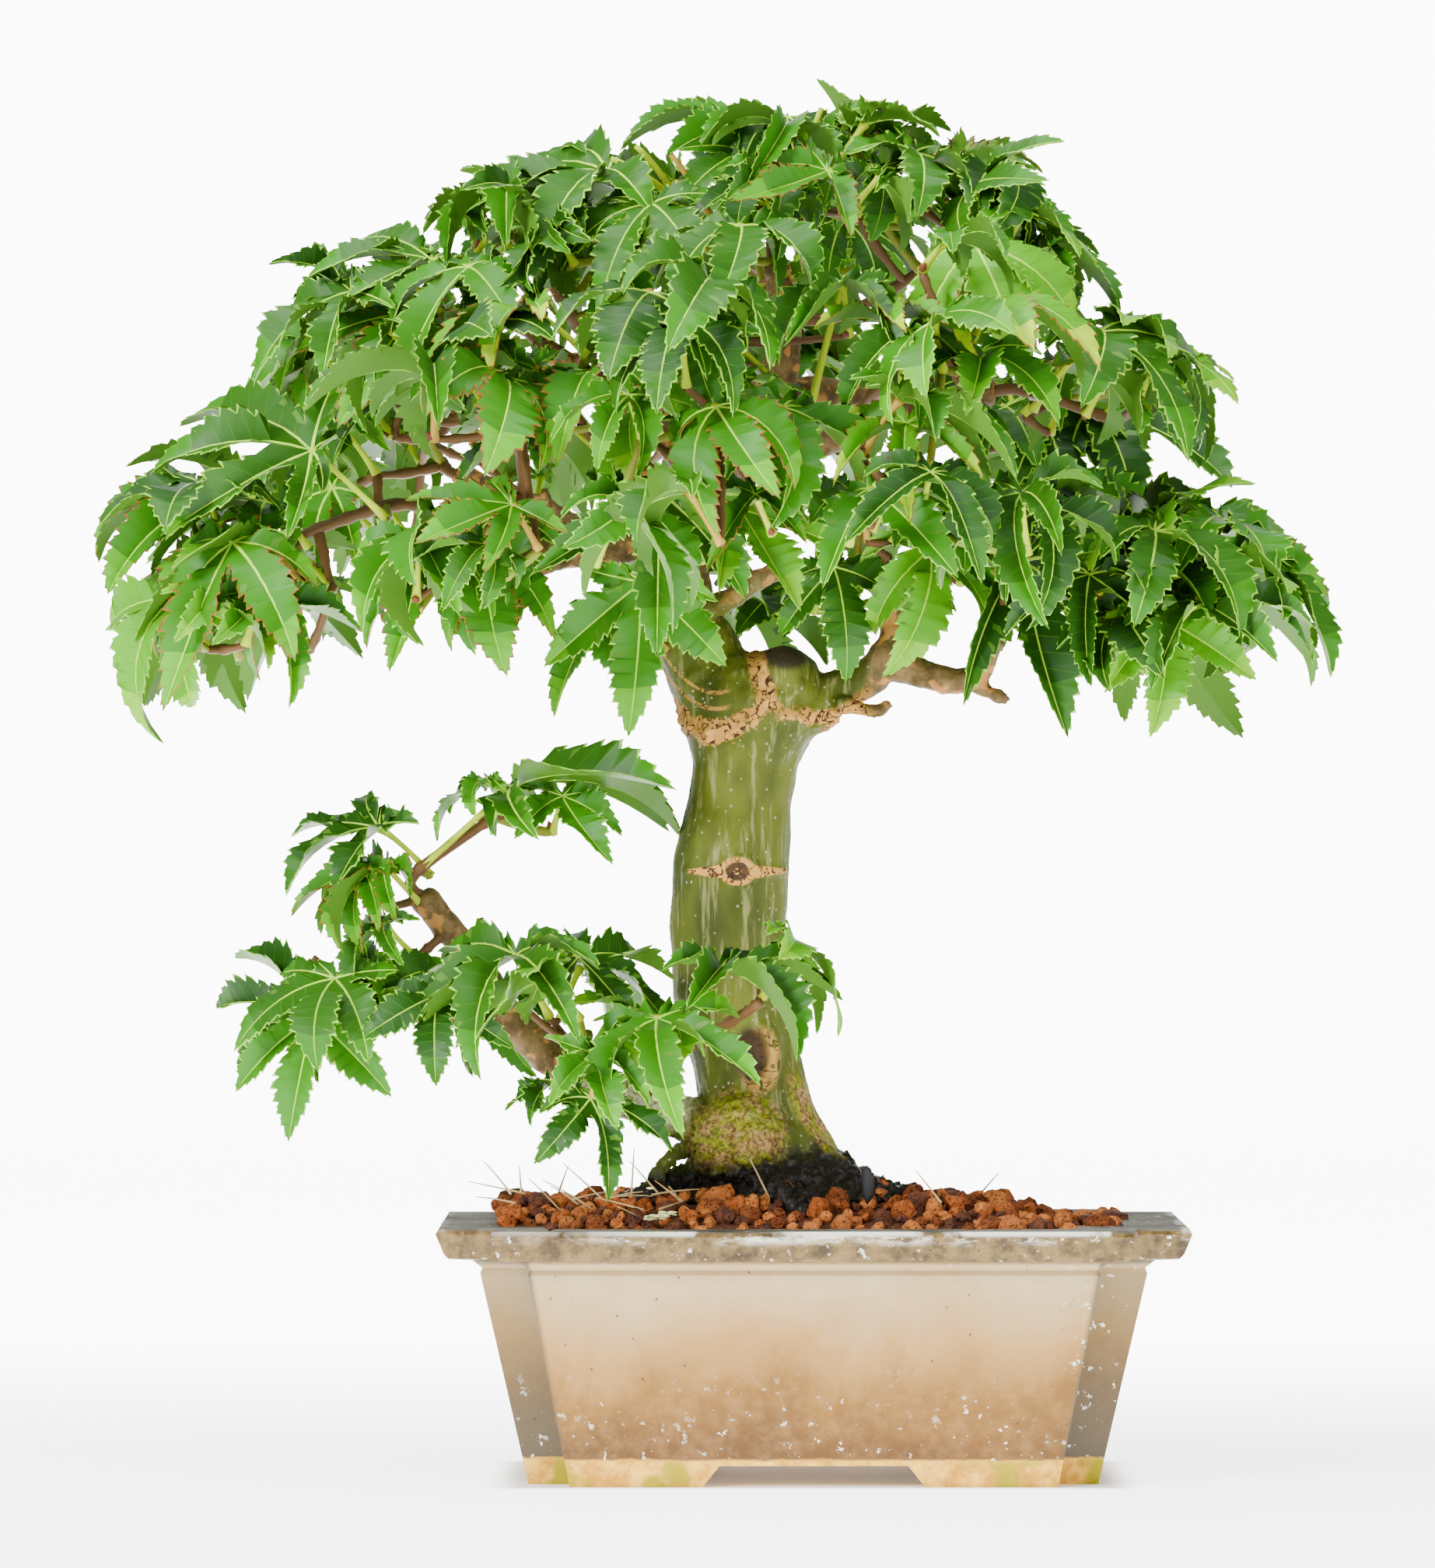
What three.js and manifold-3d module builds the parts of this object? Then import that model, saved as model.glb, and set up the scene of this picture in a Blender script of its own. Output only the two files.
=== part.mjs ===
// A small bonsai maple in a glazed ceramic tray with feet, filled with granular soil.
// Millimetres, +Z up. The plant is laid out about the middle of the tray, standing on z = 0,
// and the whole group is then moved so that the middle of its own base is the origin.
import * as THREE from "three";
import { mergeVertices } from "three/addons/utils/BufferGeometryUtils.js";
import Module from "manifold-3d";

const wasm = await Module();
wasm.setup();

// ---- driving dimensions ----

const GAP = 0.3; // between one solid and the next

const POT_HEIGHT = 48;
const RIM = { length: 140, depth: 96, notch: 9.6, height: 5.6, taper: 1.4 };
const BODY_TOP = { length: 125, depth: 81, notch: 8.7 };
const BODY_FOOT = { length: 106, depth: 66, notch: 7.6 };
const WALL = 4;
const FLOOR_TOP = 9;
const FEET = { height: 4, width: 8, longGap: 35, shortGap: 20 };
const DRAIN = { radius: 6, spacing: 48 };

const GROUND = 52; // the flat cut under the trunk
const SOIL_EDGE = 46;
const SOIL_CREST = 50.2;

// Trunk sections: height, middle in x, half the width in x.
const TRUNK = [
  [GROUND, -4.5, 18.5],
  [56, -6, 14.5],
  [61, -8, 12],
  [70, -10.5, 10.3],
  [80, -13, 10.1],
  [90, -15.2, 10.8],
  [104, -15.9, 10.2],
  [116, -15.2, 10.2],
  [126, -13.9, 9.4],
  [134, -12.5, 9.6],
  [140, -11.7, 11.8],
  [146, -12.4, 12.6],
  [151, -13.8, 10.6],
  [154, -15.6, 7.6],
];
const TRUNK_DEPTH = 0.94; // depth of a section over its width
const ROOT_FALL = 4.5; // height over which a root ridge fades into the trunk
// Root ridges: bearing in degrees, how far each stands out at the ground, its width in degrees.
const ROOTS = [
  [0, 8, 26],
  [62, 5, 24],
  [128, 6, 24],
  [184, 5.5, 26],
  [236, 6, 22],
  [300, 7, 24],
];
const KNOB = { at: [-5.4, -1, 149], size: [7.4, 7.4, 7.4] };
const BURL = { at: [-12, -6.5, 63.5], size: [6.4, 6.6, 8.2] };

// Limbs: what each grows from, its course, and its radius at the foot and at the tip.
const LIMBS = {
  leader: {
    from: "trunk",
    course: [[-16, 0, 146], [-21.5, 0, 155], [-25.6, 1, 166], [-25.6, 2, 177], [-20, 3, 188],
      [-12, 4, 198], [-6.5, 4, 208], [-5, 4, 218], [-7, 3, 229]],
    radii: [8.2, 2],
  },
  right_limb: {
    from: "leader",
    course: [[-13, 4, 197], [-4, 0, 194.5], [6, -4, 197], [17, -8, 202.5], [34, -10, 204]],
    radii: [3.9, 2.5],
  },
  left_limb: {
    from: "leader",
    course: [[-25.6, 1, 177], [-36, -2, 175.5], [-46, -4, 174.5], [-57, -6, 172.5], [-68.5, -8, 179]],
    radii: [4.2, 2.4],
  },
  upper_left_limb: {
    from: "leader",
    course: [[-20, 3, 188], [-30, 4, 198], [-41, 4, 206], [-52, 3, 214]],
    radii: [3.4, 1.9],
  },
  old_stub: {
    from: "leader",
    course: [[-24, 1, 182], [-32, -6, 187], [-37, -10, 188.5]],
    radii: [4, 3.4],
  },
  low_right_limb: {
    from: "trunk",
    course: [[-3, -1, 142.5], [4.5, -2, 147.5], [12, -4, 151.6], [15.6, -4.5, 156], [14, -4.5, 167]],
    radii: [4.4, 2.1],
  },
  low_right_fork: {
    from: "low_right_limb",
    course: [[13, -4.5, 153], [21.8, -7, 150.8], [29.6, -9, 150], [34.5, -10, 158]],
    radii: [2.8, 1.8],
  },
  back_limb: {
    from: "leader",
    course: [[-25.8, 2, 180], [-22, 20, 184], [-18, 38, 192], [-17, 54, 199]],
    radii: [4, 2.1],
  },
  back_left_limb: {
    from: "leader",
    course: [[-25.8, 1.5, 172], [-40, 18, 176], [-55, 34, 184], [-68, 44, 190]],
    radii: [3.8, 2],
  },
  back_right_limb: {
    from: "leader",
    course: [[-8.5, 4, 204], [6, 18, 204], [20, 30, 203], [35, 40, 200]],
    radii: [3.4, 1.9],
  },
  front_limb: {
    from: "leader",
    course: [[-18.5, 3, 190], [-20, -12, 197], [-23, -26, 203], [-26, -38, 206]],
    radii: [3.1, 1.8],
  },
  low_limb: {
    from: "trunk",
    course: [[-17, -3, 64.5], [-39.5, -5, 73.5], [-54.2, -6, 83], [-63.7, -7, 97], [-73.4, -8, 109]],
    radii: [4.2, 1.9],
  },
  low_side_limb: {
    from: "low_limb",
    course: [[-55, -6, 84.6], [-63, -8, 86.6], [-72, -9, 86.6], [-79, -9.5, 88]],
    radii: [2.1, 1.3],
  },
};

// Masses of leaves: the limb each grows from and how far along it (1 is the tip), the middle and
// half-size of its space, the length of its leaves and how many there are at most.
const MASSES = {
  top_leaves: { on: ["leader", 1], at: [-6, -14, 244], half: [35, 42, 21], leaf: 32, count: 9 },
  top_left_leaves: { on: ["upper_left_limb", 0.8], at: [-48, -8, 231], half: [27, 43, 22], leaf: 32, count: 9 },
  top_right_leaves: { on: ["leader", 0.88], at: [30, -8, 229], half: [25, 44, 25], leaf: 34, count: 8 },
  back_top_leaves: { on: ["leader", 0.94], at: [-12, 34, 231], half: [44, 32, 22], leaf: 36, count: 7 },
  upper_left_leaves: { on: ["upper_left_limb", 1], at: [-81, -2, 211], half: [26, 45, 23], leaf: 33, count: 9 },
  left_leaves: { on: ["left_limb", 1], at: [-108, -8, 168], half: [29, 42, 34], leaf: 38, count: 9 },
  left_front_leaves: { on: ["left_limb", 0.72], at: [-55, -46, 183], half: [28, 37, 42], leaf: 37, count: 9 },
  front_leaves: { on: ["front_limb", 1], at: [-25, -58, 194], half: [28, 40, 48], leaf: 37, count: 9 },
  front_right_leaves: { on: ["right_limb", 0.6], at: [24, -54, 194], half: [30, 38, 42], leaf: 37, count: 9 },
  upper_right_leaves: { on: ["right_limb", 1], at: [58, -6, 197], half: [26, 46, 24], leaf: 34, count: 9 },
  right_leaves: { on: ["low_right_fork", 1], at: [69, -12, 163], half: [29, 44, 29], leaf: 38, count: 8 },
  low_right_leaves: { on: ["low_right_limb", 1], at: [14, -15, 173], half: [27, 30, 19], leaf: 29, count: 5 },
  back_left_leaves: { on: ["back_left_limb", 1], at: [-74, 56, 190], half: [40, 42, 34], leaf: 39, count: 8 },
  back_leaves: { on: ["back_limb", 1], at: [-14, 66, 196], half: [34, 40, 42], leaf: 38, count: 9 },
  back_right_leaves: { on: ["back_right_limb", 1], at: [46, 58, 182], half: [38, 42, 34], leaf: 39, count: 9 },
  low_crest_leaves: { on: ["low_limb", 1], at: [-60, -6, 124], half: [37, 26, 17], leaf: 28, count: 7 },
  low_left_leaves: { on: ["low_side_limb", 1], at: [-95, -10, 91], half: [23, 28, 27], leaf: 29, count: 5 },
  low_front_leaves: { on: ["low_limb", 0.42], at: [-42, -30, 80], half: [29, 26, 22], leaf: 29, count: 6 },
  low_right_side_leaves: { on: ["low_limb", 0.22], at: [-10, -36, 93], half: [18, 24, 16], leaf: 28, count: 3 },
  low_back_leaves: { on: ["low_limb", 0.6], at: [-58, 26, 92], half: [30, 26, 23], leaf: 29, count: 5 },
};
const BLADE_CLEARANCE = 0.8; // between the middle of a blade and any limb
const TWIG_CLEARANCE = 1.5; // between the middle of a twig and any limb
const SPACE_MARGIN = 0.045; // between the spaces of two masses, as a share of their half-size
const PETIOLE = { length: 13, radius: 0.7 };
const TWIG_RADIUS = 0.9;
const STEM_RADIUS = 1.15;
const LEAF_THICKNESS = 0.8;
// Lobes of a leaf: bearing in degrees from its middle line, and length over the middle lobe's.
const LOBES = [[-100, 0.5], [-50, 0.86], [0, 1], [50, 0.86], [100, 0.5]];
const LOBE_WIDTH = 0.165; // half the width of a lobe over its length
const LOBE_BEND = 1.25; // radians from the leaf's root to its tip
const LOBE_RISE = 0.2; // radians by which a lobe first rises
const LEAF_TILT = [0.15, 0.85]; // radians that leaves tip down at the top and at the bottom of a mass
const LEAF_SCALES = [1, 0.86, 0.74, 0.62]; // sizes tried for each leaf
const LEAF_TURNS = [0, 0.4, -0.4, 0.8, -0.8]; // radians that it is turned aside
const LEAF_TRIES = 120; // places tried in each mass
const LEAF_SPACING = 0.42; // least distance between two leaf hubs, over the leaf's length
const LEAF_CROSSING = 0.6; // most that two leaves of a mass may share, in mm3
const EVEN_STEPS = [0.7548777, 0.5698403]; // steps that spread places evenly, however many there are

const BARK = new THREE.MeshStandardMaterial({ color: 0x66703a, roughness: 0.75, metalness: 0 });
const SHOOT = new THREE.MeshStandardMaterial({ color: 0x6d5a3c, roughness: 0.8, metalness: 0 });
const CERAMIC = new THREE.MeshStandardMaterial({ color: 0xb39a78, roughness: 0.3, metalness: 0 });
const SOIL = new THREE.MeshStandardMaterial({ color: 0x8a4526, roughness: 0.95, metalness: 0 });
const FOLIAGE = new THREE.MeshStandardMaterial({ color: 0x2f7d2c, roughness: 0.5, metalness: 0 });

// ---- helpers ----

const vec = (p) => new THREE.Vector3(...p);

// A seeded source of numbers from 0 to 1.
function makeRandom(seed) {
  let state = seed >>> 0;
  return () => {
    state = (Math.imul(state, 1664525) + 1013904223) >>> 0;
    return state / 4294967296;
  };
}

function bufferGeometry(points, faces) {
  const geometry = new THREE.BufferGeometry();
  const coordinates = points.flatMap((p) => [p.x, p.y, p.z]);
  geometry.setAttribute("position", new THREE.Float32BufferAttribute(coordinates, 3));
  geometry.setIndex(faces.flat());
  return geometry;
}

// A closed geometry as a solid for booleans.
function toSolid(geometry) {
  geometry.deleteAttribute("normal");
  geometry.deleteAttribute("uv");
  const merged = mergeVertices(geometry, 1e-3);
  return new wasm.Manifold(
    new wasm.Mesh({
      numProp: 3,
      vertProperties: merged.attributes.position.array,
      triVerts: new Uint32Array(merged.index.array),
    }),
  );
}

function toGeometry(solid) {
  const { vertProperties, triVerts, numProp } = solid.getMesh();
  const geometry = new THREE.BufferGeometry();
  const points = [];
  for (let i = 0; i < vertProperties.length; i += numProp) points.push(...vertProperties.slice(i, i + 3));
  geometry.setAttribute("position", new THREE.Float32BufferAttribute(points, 3));
  geometry.setIndex([...triVerts]);
  geometry.computeVertexNormals();
  return geometry;
}

// The main body of a solid, with loose scraps dropped and sealed hollows filled.
function mainBody(solid) {
  return solid.decompose().reduce((a, b) => (b.volume() > a.volume() ? b : a));
}

function namedMesh(name, solid, material) {
  const mesh = new THREE.Mesh(toGeometry(solid), material);
  mesh.name = name;
  return mesh;
}

// Closed skin through rings of equal count, each a list of points that runs anticlockwise when
// it is looked at against the direction from the first ring to the last.
function loft(rings) {
  const sides = rings[0].length;
  const faces = [];
  for (let r = 0; r + 1 < rings.length; r++) {
    for (let s = 0; s < sides; s++) {
      const a = r * sides + s;
      const b = r * sides + ((s + 1) % sides);
      faces.push([a, b, b + sides], [a, b + sides, a + sides]);
    }
  }
  const flat = rings[0].map((p) => new THREE.Vector2(p.x, p.y));
  const last = (rings.length - 1) * sides;
  const convexCap = [...Array(sides - 2).keys()].map((i) => [0, i + 1, i + 2]);
  const cap = sides > 8 ? THREE.ShapeUtils.triangulateShape(flat, []) : convexCap;
  for (const [a, b, c] of cap) {
    faces.push([a, c, b], [last + a, last + b, last + c]);
  }
  return bufferGeometry(rings.flat(), faces);
}

// ---- pot ----

// A rectangle with a square step cut out of each corner.
function notchedPlan({ length, depth, notch }, z) {
  const x = length / 2;
  const y = depth / 2;
  const corners = [[1, 1], [-1, 1], [-1, -1], [1, -1]];
  return corners.flatMap(([sx, sy]) => {
    const step = [[x, y - notch], [x - notch, y - notch], [x - notch, y]];
    const ordered = sx * sy > 0 ? step : step.reverse();
    return ordered.map(([px, py]) => new THREE.Vector3(sx * px, sy * py, z));
  });
}

const shrunk = (plan, by) => ({
  length: plan.length - 2 * by,
  depth: plan.depth - 2 * by,
  notch: plan.notch,
});

const planBetween = (low, high, share) => ({
  length: THREE.MathUtils.lerp(low.length, high.length, share),
  depth: THREE.MathUtils.lerp(low.depth, high.depth, share),
  notch: THREE.MathUtils.lerp(low.notch, high.notch, share),
});

// The inside of the pot, kept a distance from its walls and floor.
function potInside(clearance, top) {
  const underRim = POT_HEIGHT - RIM.height;
  const low = planBetween(BODY_FOOT, BODY_TOP, FLOOR_TOP / underRim);
  return toSolid(
    loft([
      notchedPlan(shrunk(low, WALL + clearance), FLOOR_TOP + clearance),
      notchedPlan(shrunk(BODY_TOP, WALL + clearance), underRim),
      notchedPlan(shrunk(BODY_TOP, WALL + clearance - 0.6), top),
    ]),
  );
}

// A bar across the underside, wider at the ground, that leaves a gap between two feet.
function footGap(width, length, along) {
  const half = width / 2;
  const flare = half + FEET.height * 0.9;
  const shape = new THREE.Shape([
    new THREE.Vector2(-flare, -1),
    new THREE.Vector2(flare, -1),
    new THREE.Vector2(flare, 0),
    new THREE.Vector2(half, FEET.height),
    new THREE.Vector2(-half, FEET.height),
    new THREE.Vector2(-flare, 0),
  ]);
  const bar = new THREE.ExtrudeGeometry(shape, { depth: length, bevelEnabled: false });
  bar.translate(0, 0, -length / 2);
  bar.rotateX(Math.PI / 2);
  if (along === "x") bar.rotateZ(Math.PI / 2);
  return toSolid(bar);
}

function pot() {
  const underRim = POT_HEIGHT - RIM.height;
  const cove = 2.6;
  const body = toSolid(
    loft([
      notchedPlan(BODY_FOOT, 0),
      notchedPlan(planBetween(BODY_FOOT, BODY_TOP, (underRim - cove) / underRim), underRim - cove),
      notchedPlan(shrunk(BODY_TOP, -1), underRim + 0.5),
    ]),
  );
  const rim = toSolid(
    loft([
      notchedPlan(shrunk(RIM, RIM.taper + 0.7), underRim),
      notchedPlan(shrunk(RIM, RIM.taper), underRim + 0.8),
      notchedPlan(RIM, POT_HEIGHT - 1),
      notchedPlan(shrunk(RIM, 0.8), POT_HEIGHT),
    ]),
  );
  const recess = new THREE.BoxGeometry(
    BODY_FOOT.length - 2 * FEET.width - 2 * BODY_FOOT.notch,
    BODY_FOOT.depth - 2 * FEET.width,
    2 * FEET.height,
  );
  let shell = body.add(rim).subtract(potInside(0, POT_HEIGHT + 1)).subtract(toSolid(recess));
  shell = shell.subtract(footGap(FEET.longGap, 2 * RIM.depth, "y"));
  shell = shell.subtract(footGap(FEET.shortGap, 2 * RIM.length, "x"));
  for (const side of [-1, 1]) {
    const drain = new THREE.CylinderGeometry(DRAIN.radius, DRAIN.radius, 4 * FLOOR_TOP, 16);
    drain.rotateX(Math.PI / 2);
    drain.translate((side * DRAIN.spacing) / 2, 0, 0);
    shell = shell.subtract(toSolid(drain));
  }
  return shell;
}

// ---- soil ----

// Height of the heaped soil: level with the walls, higher along the middle and by the trunk.
function soilHeight(x, y) {
  const across = 1 - Math.min(1, (y / 38) ** 2);
  const along = THREE.MathUtils.clamp((58 - x) / 30, 0, 1);
  const mound = 5 * Math.exp(-(((x + 4) / 30) ** 2) - (y / 24) ** 2);
  const lumps = 0.5 * Math.sin(x * 0.42 + 1) * Math.cos(y * 0.5);
  return Math.min(SOIL_EDGE + (SOIL_CREST - SOIL_EDGE) * across * along + mound + lumps, GROUND - GAP);
}

function soil() {
  const [width, depth] = [RIM.length, RIM.depth];
  const block = new THREE.BoxGeometry(width, depth, 1, 16, 9, 1);
  const place = block.attributes.position;
  for (let i = 0; i < place.count; i++) {
    const isTop = place.getZ(i) > 0;
    place.setZ(i, isTop ? soilHeight(place.getX(i), place.getY(i)) : 0);
  }
  return toSolid(block).intersect(potInside(GAP, POT_HEIGHT + 8));
}

// ---- trunk and limbs ----

function lumpAt({ at, size }, grow) {
  const ball = new THREE.IcosahedronGeometry(1, 1);
  ball.scale(...size.map((s) => s + grow));
  ball.translate(...at);
  return toSolid(ball);
}

// How far the root ridges stand out at a bearing and height.
function rootBulge(bearing, z) {
  const fade = Math.exp(-(z - GROUND) / ROOT_FALL);
  return ROOTS.reduce((sum, [middle, out, width]) => {
    const off = THREE.MathUtils.euclideanModulo(bearing - middle + 180, 360) - 180;
    return sum + out * fade * Math.exp(-((off / width) ** 2));
  }, 0);
}

// The trunk, or the same shape grown all over, to keep its neighbours clear of it.
function trunk(grow = 0) {
  const sides = 16;
  const rings = TRUNK.map(([z, middle, half], i) => {
    const end = i === 0 ? -grow : i === TRUNK.length - 1 ? grow : 0;
    return [...Array(sides).keys()].map((s) => {
      const bearing = (s * 360) / sides;
      const angle = THREE.MathUtils.degToRad(bearing);
      const reach = half + grow + rootBulge(bearing, z);
      const [out, back] = [reach * Math.cos(angle), reach * TRUNK_DEPTH * Math.sin(angle)];
      return new THREE.Vector3(middle + out, back, z + end);
    });
  });
  return toSolid(loft(rings)).add(lumpAt(KNOB, grow)).add(lumpAt(BURL, grow));
}

const limbCurve = ({ course }) => new THREE.CatmullRomCurve3(course.map(vec), false, "centripetal");

// A tapering round limb along a curve.
function taperedTube(curve, radii, steps, sides) {
  const { normals, binormals } = curve.computeFrenetFrames(steps);
  const rings = normals.map((normal, i) => {
    const centre = curve.getPointAt(i / steps);
    const radius = THREE.MathUtils.lerp(radii[0], radii[1], i / steps);
    return [...Array(sides).keys()].map((s) => {
      const angle = (2 * Math.PI * s) / sides;
      return centre
        .clone()
        .addScaledVector(normal, radius * Math.cos(angle))
        .addScaledVector(binormals[i], radius * Math.sin(angle));
    });
  });
  return toSolid(loft(rings));
}

function limbTube(name, grow = 0) {
  const { course, radii } = LIMBS[name];
  const steps = 2 * (course.length - 1);
  return taperedTube(limbCurve(LIMBS[name]), radii.map((r) => r + grow), steps, 7);
}

// A limb with its foot cut to the surface that it grows from.
function limb(name) {
  const { from } = LIMBS[name];
  const parent = from === "trunk" ? trunk(GAP) : limbTube(from, GAP);
  return mainBody(limbTube(name).subtract(parent));
}

// Every limb as a chain of balls, to keep leaves and twigs off it.
function limbBalls() {
  const balls = [];
  for (const { course, radii } of Object.values(LIMBS)) {
    const curve = limbCurve({ course });
    const steps = Math.ceil(curve.getLength() / 2);
    for (let i = 0; i <= steps; i++) {
      balls.push([curve.getPointAt(i / steps), THREE.MathUtils.lerp(radii[0], radii[1], i / steps)]);
    }
  }
  for (let i = 0; i + 1 < TRUNK.length; i++) {
    for (let share = 0; share < 1; share += 0.25) {
      const [z, x, r] = TRUNK[i].map((low, k) => THREE.MathUtils.lerp(low, TRUNK[i + 1][k], share));
      balls.push([new THREE.Vector3(x, 0, z), r + 1]);
    }
  }
  balls.push([vec(KNOB.at), KNOB.size[0]], [vec(BURL.at), BURL.size[2]]);
  return balls;
}

// ---- leaves ----

// A point of a lobe: share of the way to its tip, and how far to its left, in the leaf's own
// frame, where x runs along the middle lobe and z stands up from the blade.
function lobePoint(bearing, length, share, aside = 0, above = 0) {
  const slope = LOBE_BEND * share - LOBE_RISE;
  const out = (length * (Math.sin(slope) + Math.sin(LOBE_RISE))) / LOBE_BEND;
  const up = (length * (Math.cos(slope) - Math.cos(LOBE_RISE))) / LOBE_BEND;
  const reach = out + above * Math.sin(slope);
  const height = up + above * Math.cos(slope) - 0.45 * Math.abs(aside);
  return new THREE.Vector3(
    reach * Math.cos(bearing) - aside * Math.sin(bearing),
    reach * Math.sin(bearing) + aside * Math.cos(bearing),
    height,
  );
}

// Points and faces of one leaf blade: lobes round a hub, sharp at the edge and thicker along the
// ribs, and the three points under the hub where its stalk joins.
function leafShape(length) {
  const half = LEAF_THICKNESS / 2;
  const points = [new THREE.Vector3(0, 0, half), new THREE.Vector3(0, 0, -half)];
  const upper = [];
  const under = [];
  const add = (point) => points.push(point) - 1;
  const [backRight, backLeft] = [-1, 1].map((side) =>
    add(new THREE.Vector3(-2 * PETIOLE.radius, side * PETIOLE.radius, -0.02 * length)),
  );
  let before = backRight;
  LOBES.forEach(([degrees, share], i) => {
    const bearing = THREE.MathUtils.degToRad(degrees);
    const size = length * share;
    const width = LOBE_WIDTH * size;
    const isSmall = share < 0.7;
    const ribAt = (above) => add(lobePoint(bearing, size, 0.48, 0, above));
    const [rib, ribUnder] = isSmall ? [0, 1] : [ribAt(half), ribAt(-half)];
    const tip = add(lobePoint(bearing, size, 1));
    const next = LOBES[i + 1];
    const between = next && THREE.MathUtils.degToRad((degrees + next[0]) / 2);
    const after = next ? add(lobePoint(between, (size + length * next[1]) / 2, 0.22, 0, -half)) : backLeft;
    const sides = isSmall ? [] : [-width, width].map((aside) => add(lobePoint(bearing, size, 0.5, aside)));
    const edge = isSmall ? [before, tip, after] : [before, sides[0], tip, sides[1], after];
    for (let k = 0; k + 1 < edge.length; k++) {
      upper.push([rib, edge[k], edge[k + 1]]);
      under.push([ribUnder, edge[k + 1], edge[k]]);
    }
    if (!isSmall) {
      upper.push([rib, 0, before], [rib, after, 0]);
      under.push([ribUnder, before, 1], [ribUnder, 1, after]);
    }
    before = after;
  });
  upper.push([0, backLeft, backRight]);
  return { points, upper, faces: [...upper, ...under], joint: [1, backLeft, backRight] };
}

// Three points round a stalk that runs up a way, one of them towards the leaf's front.
function stalkRing(centre, way, side, radius) {
  const front = side.clone().cross(way).normalize();
  const across = way.clone().cross(front).normalize();
  return [0, 1, 2].map((i) => {
    const angle = (2 * Math.PI * i) / 3;
    return centre
      .clone()
      .addScaledVector(front, radius * Math.cos(angle))
      .addScaledVector(across, radius * Math.sin(angle));
  });
}

// A leaf grown on its stalk and twig as one body, from a joint inside another twig.
function leafOnTwig({ points, faces, joint, side, root, hub }, from) {
  const twigWay = root.clone().sub(from).normalize();
  const bendWay = hub.clone().sub(from).normalize();
  const rings = [
    stalkRing(from, twigWay, side, TWIG_RADIUS * 0.7),
    stalkRing(root, bendWay, side, TWIG_RADIUS),
  ];
  const all = [...points, ...rings.flat()];
  const [first, second] = [0, 3].map((start) => [0, 1, 2].map((i) => points.length + start + i));
  const skin = [[first[0], first[2], first[1]]];
  for (const [low, high] of [[first, second], [second, joint]]) {
    for (let i = 0; i < 3; i++) {
      const j = (i + 1) % 3;
      skin.push([low[i], low[j], high[j]], [low[i], high[j], high[i]]);
    }
  }
  return toSolid(bufferGeometry(all, [...faces, ...skin]));
}

// Directions of a leaf that faces outwards at a bearing and tips down by an angle.
function leafAxes(bearing, tilt, roll) {
  const out = new THREE.Vector3(Math.cos(bearing), Math.sin(bearing), 0);
  const along = out.clone().multiplyScalar(Math.cos(tilt));
  along.z = -Math.sin(tilt);
  const side = new THREE.Vector3(-out.y, out.x, 0).applyAxisAngle(along, roll);
  const up = along.clone().cross(side);
  return { out, side, matrix: new THREE.Matrix4().makeBasis(along, side, up) };
}

// ---- masses of leaves ----

// How far out a point lies in a mass's space: 0 in the middle, 1 at its face.
function reachIn({ at, half }, point) {
  const [x, y, z] = [point.x - at[0], point.y - at[1], point.z - at[2]];
  return ((x / half[0]) ** 4 + (y / half[1]) ** 4 + (z / half[2]) ** 4) ** 0.25;
}

function inOwnSpace(name, point) {
  const own = reachIn(MASSES[name], point);
  if (own > 1) return false;
  const others = Object.entries(MASSES).filter(([other]) => other !== name);
  return others.every(([, mass]) => reachIn(mass, point) > own + SPACE_MARGIN);
}

// The stem of a mass: from just clear of its limb into the heart of its space.
function stemCurve({ on, at, half, leaf }) {
  const [limbName, along] = on;
  const { radii } = LIMBS[limbName];
  const curve = limbCurve(LIMBS[limbName]);
  const tangent = curve.getTangentAt(along);
  const foot = curve.getPointAt(along);
  const heart = new THREE.Vector3(at[0], at[1], at[2] + half[2] - 0.8 * leaf);
  const radius = THREE.MathUtils.lerp(radii[0], radii[1], along);
  const way = heart.clone().sub(foot);
  const forward = along === 1 ? tangent : way.addScaledVector(tangent, -way.dot(tangent)).normalize();
  const start = foot.clone().addScaledVector(forward, along === 1 ? GAP : radius + GAP);
  const rise = start.clone().addScaledVector(forward, 0.2 * start.distanceTo(heart));
  return new THREE.CatmullRomCurve3([start, rise, heart], false, "centripetal");
}

const STEMS = Object.fromEntries(Object.entries(MASSES).map(([name, mass]) => [name, stemCurve(mass)]));

function stemBalls(except) {
  return Object.entries(STEMS).flatMap(([name, curve]) =>
    name === except ? [] : curve.getSpacedPoints(24).map((point) => [point, STEM_RADIUS]),
  );
}

function isClear(point, balls, margin) {
  return balls.every(([centre, radius]) => point.distanceTo(centre) > radius + margin);
}

function pointsAlong(from, to, count) {
  return [...Array(count + 1).keys()].map((i) => from.clone().lerp(to, i / count));
}

// Points spread over a triangle: its middle, three points around that, and the middles of its edges.
function spotsOn(corners) {
  const shares = [
    [1 / 3, 1 / 3, 1 / 3],
    [2 / 3, 1 / 6, 1 / 6],
    [1 / 6, 2 / 3, 1 / 6],
    [1 / 6, 1 / 6, 2 / 3],
    [1 / 2, 1 / 2, 0],
    [0, 1 / 2, 1 / 2],
    [1 / 2, 0, 1 / 2],
  ];
  return shares.map((share) =>
    corners.reduce((sum, corner, i) => sum.addScaledVector(corner, share[i]), new THREE.Vector3()),
  );
}

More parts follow.
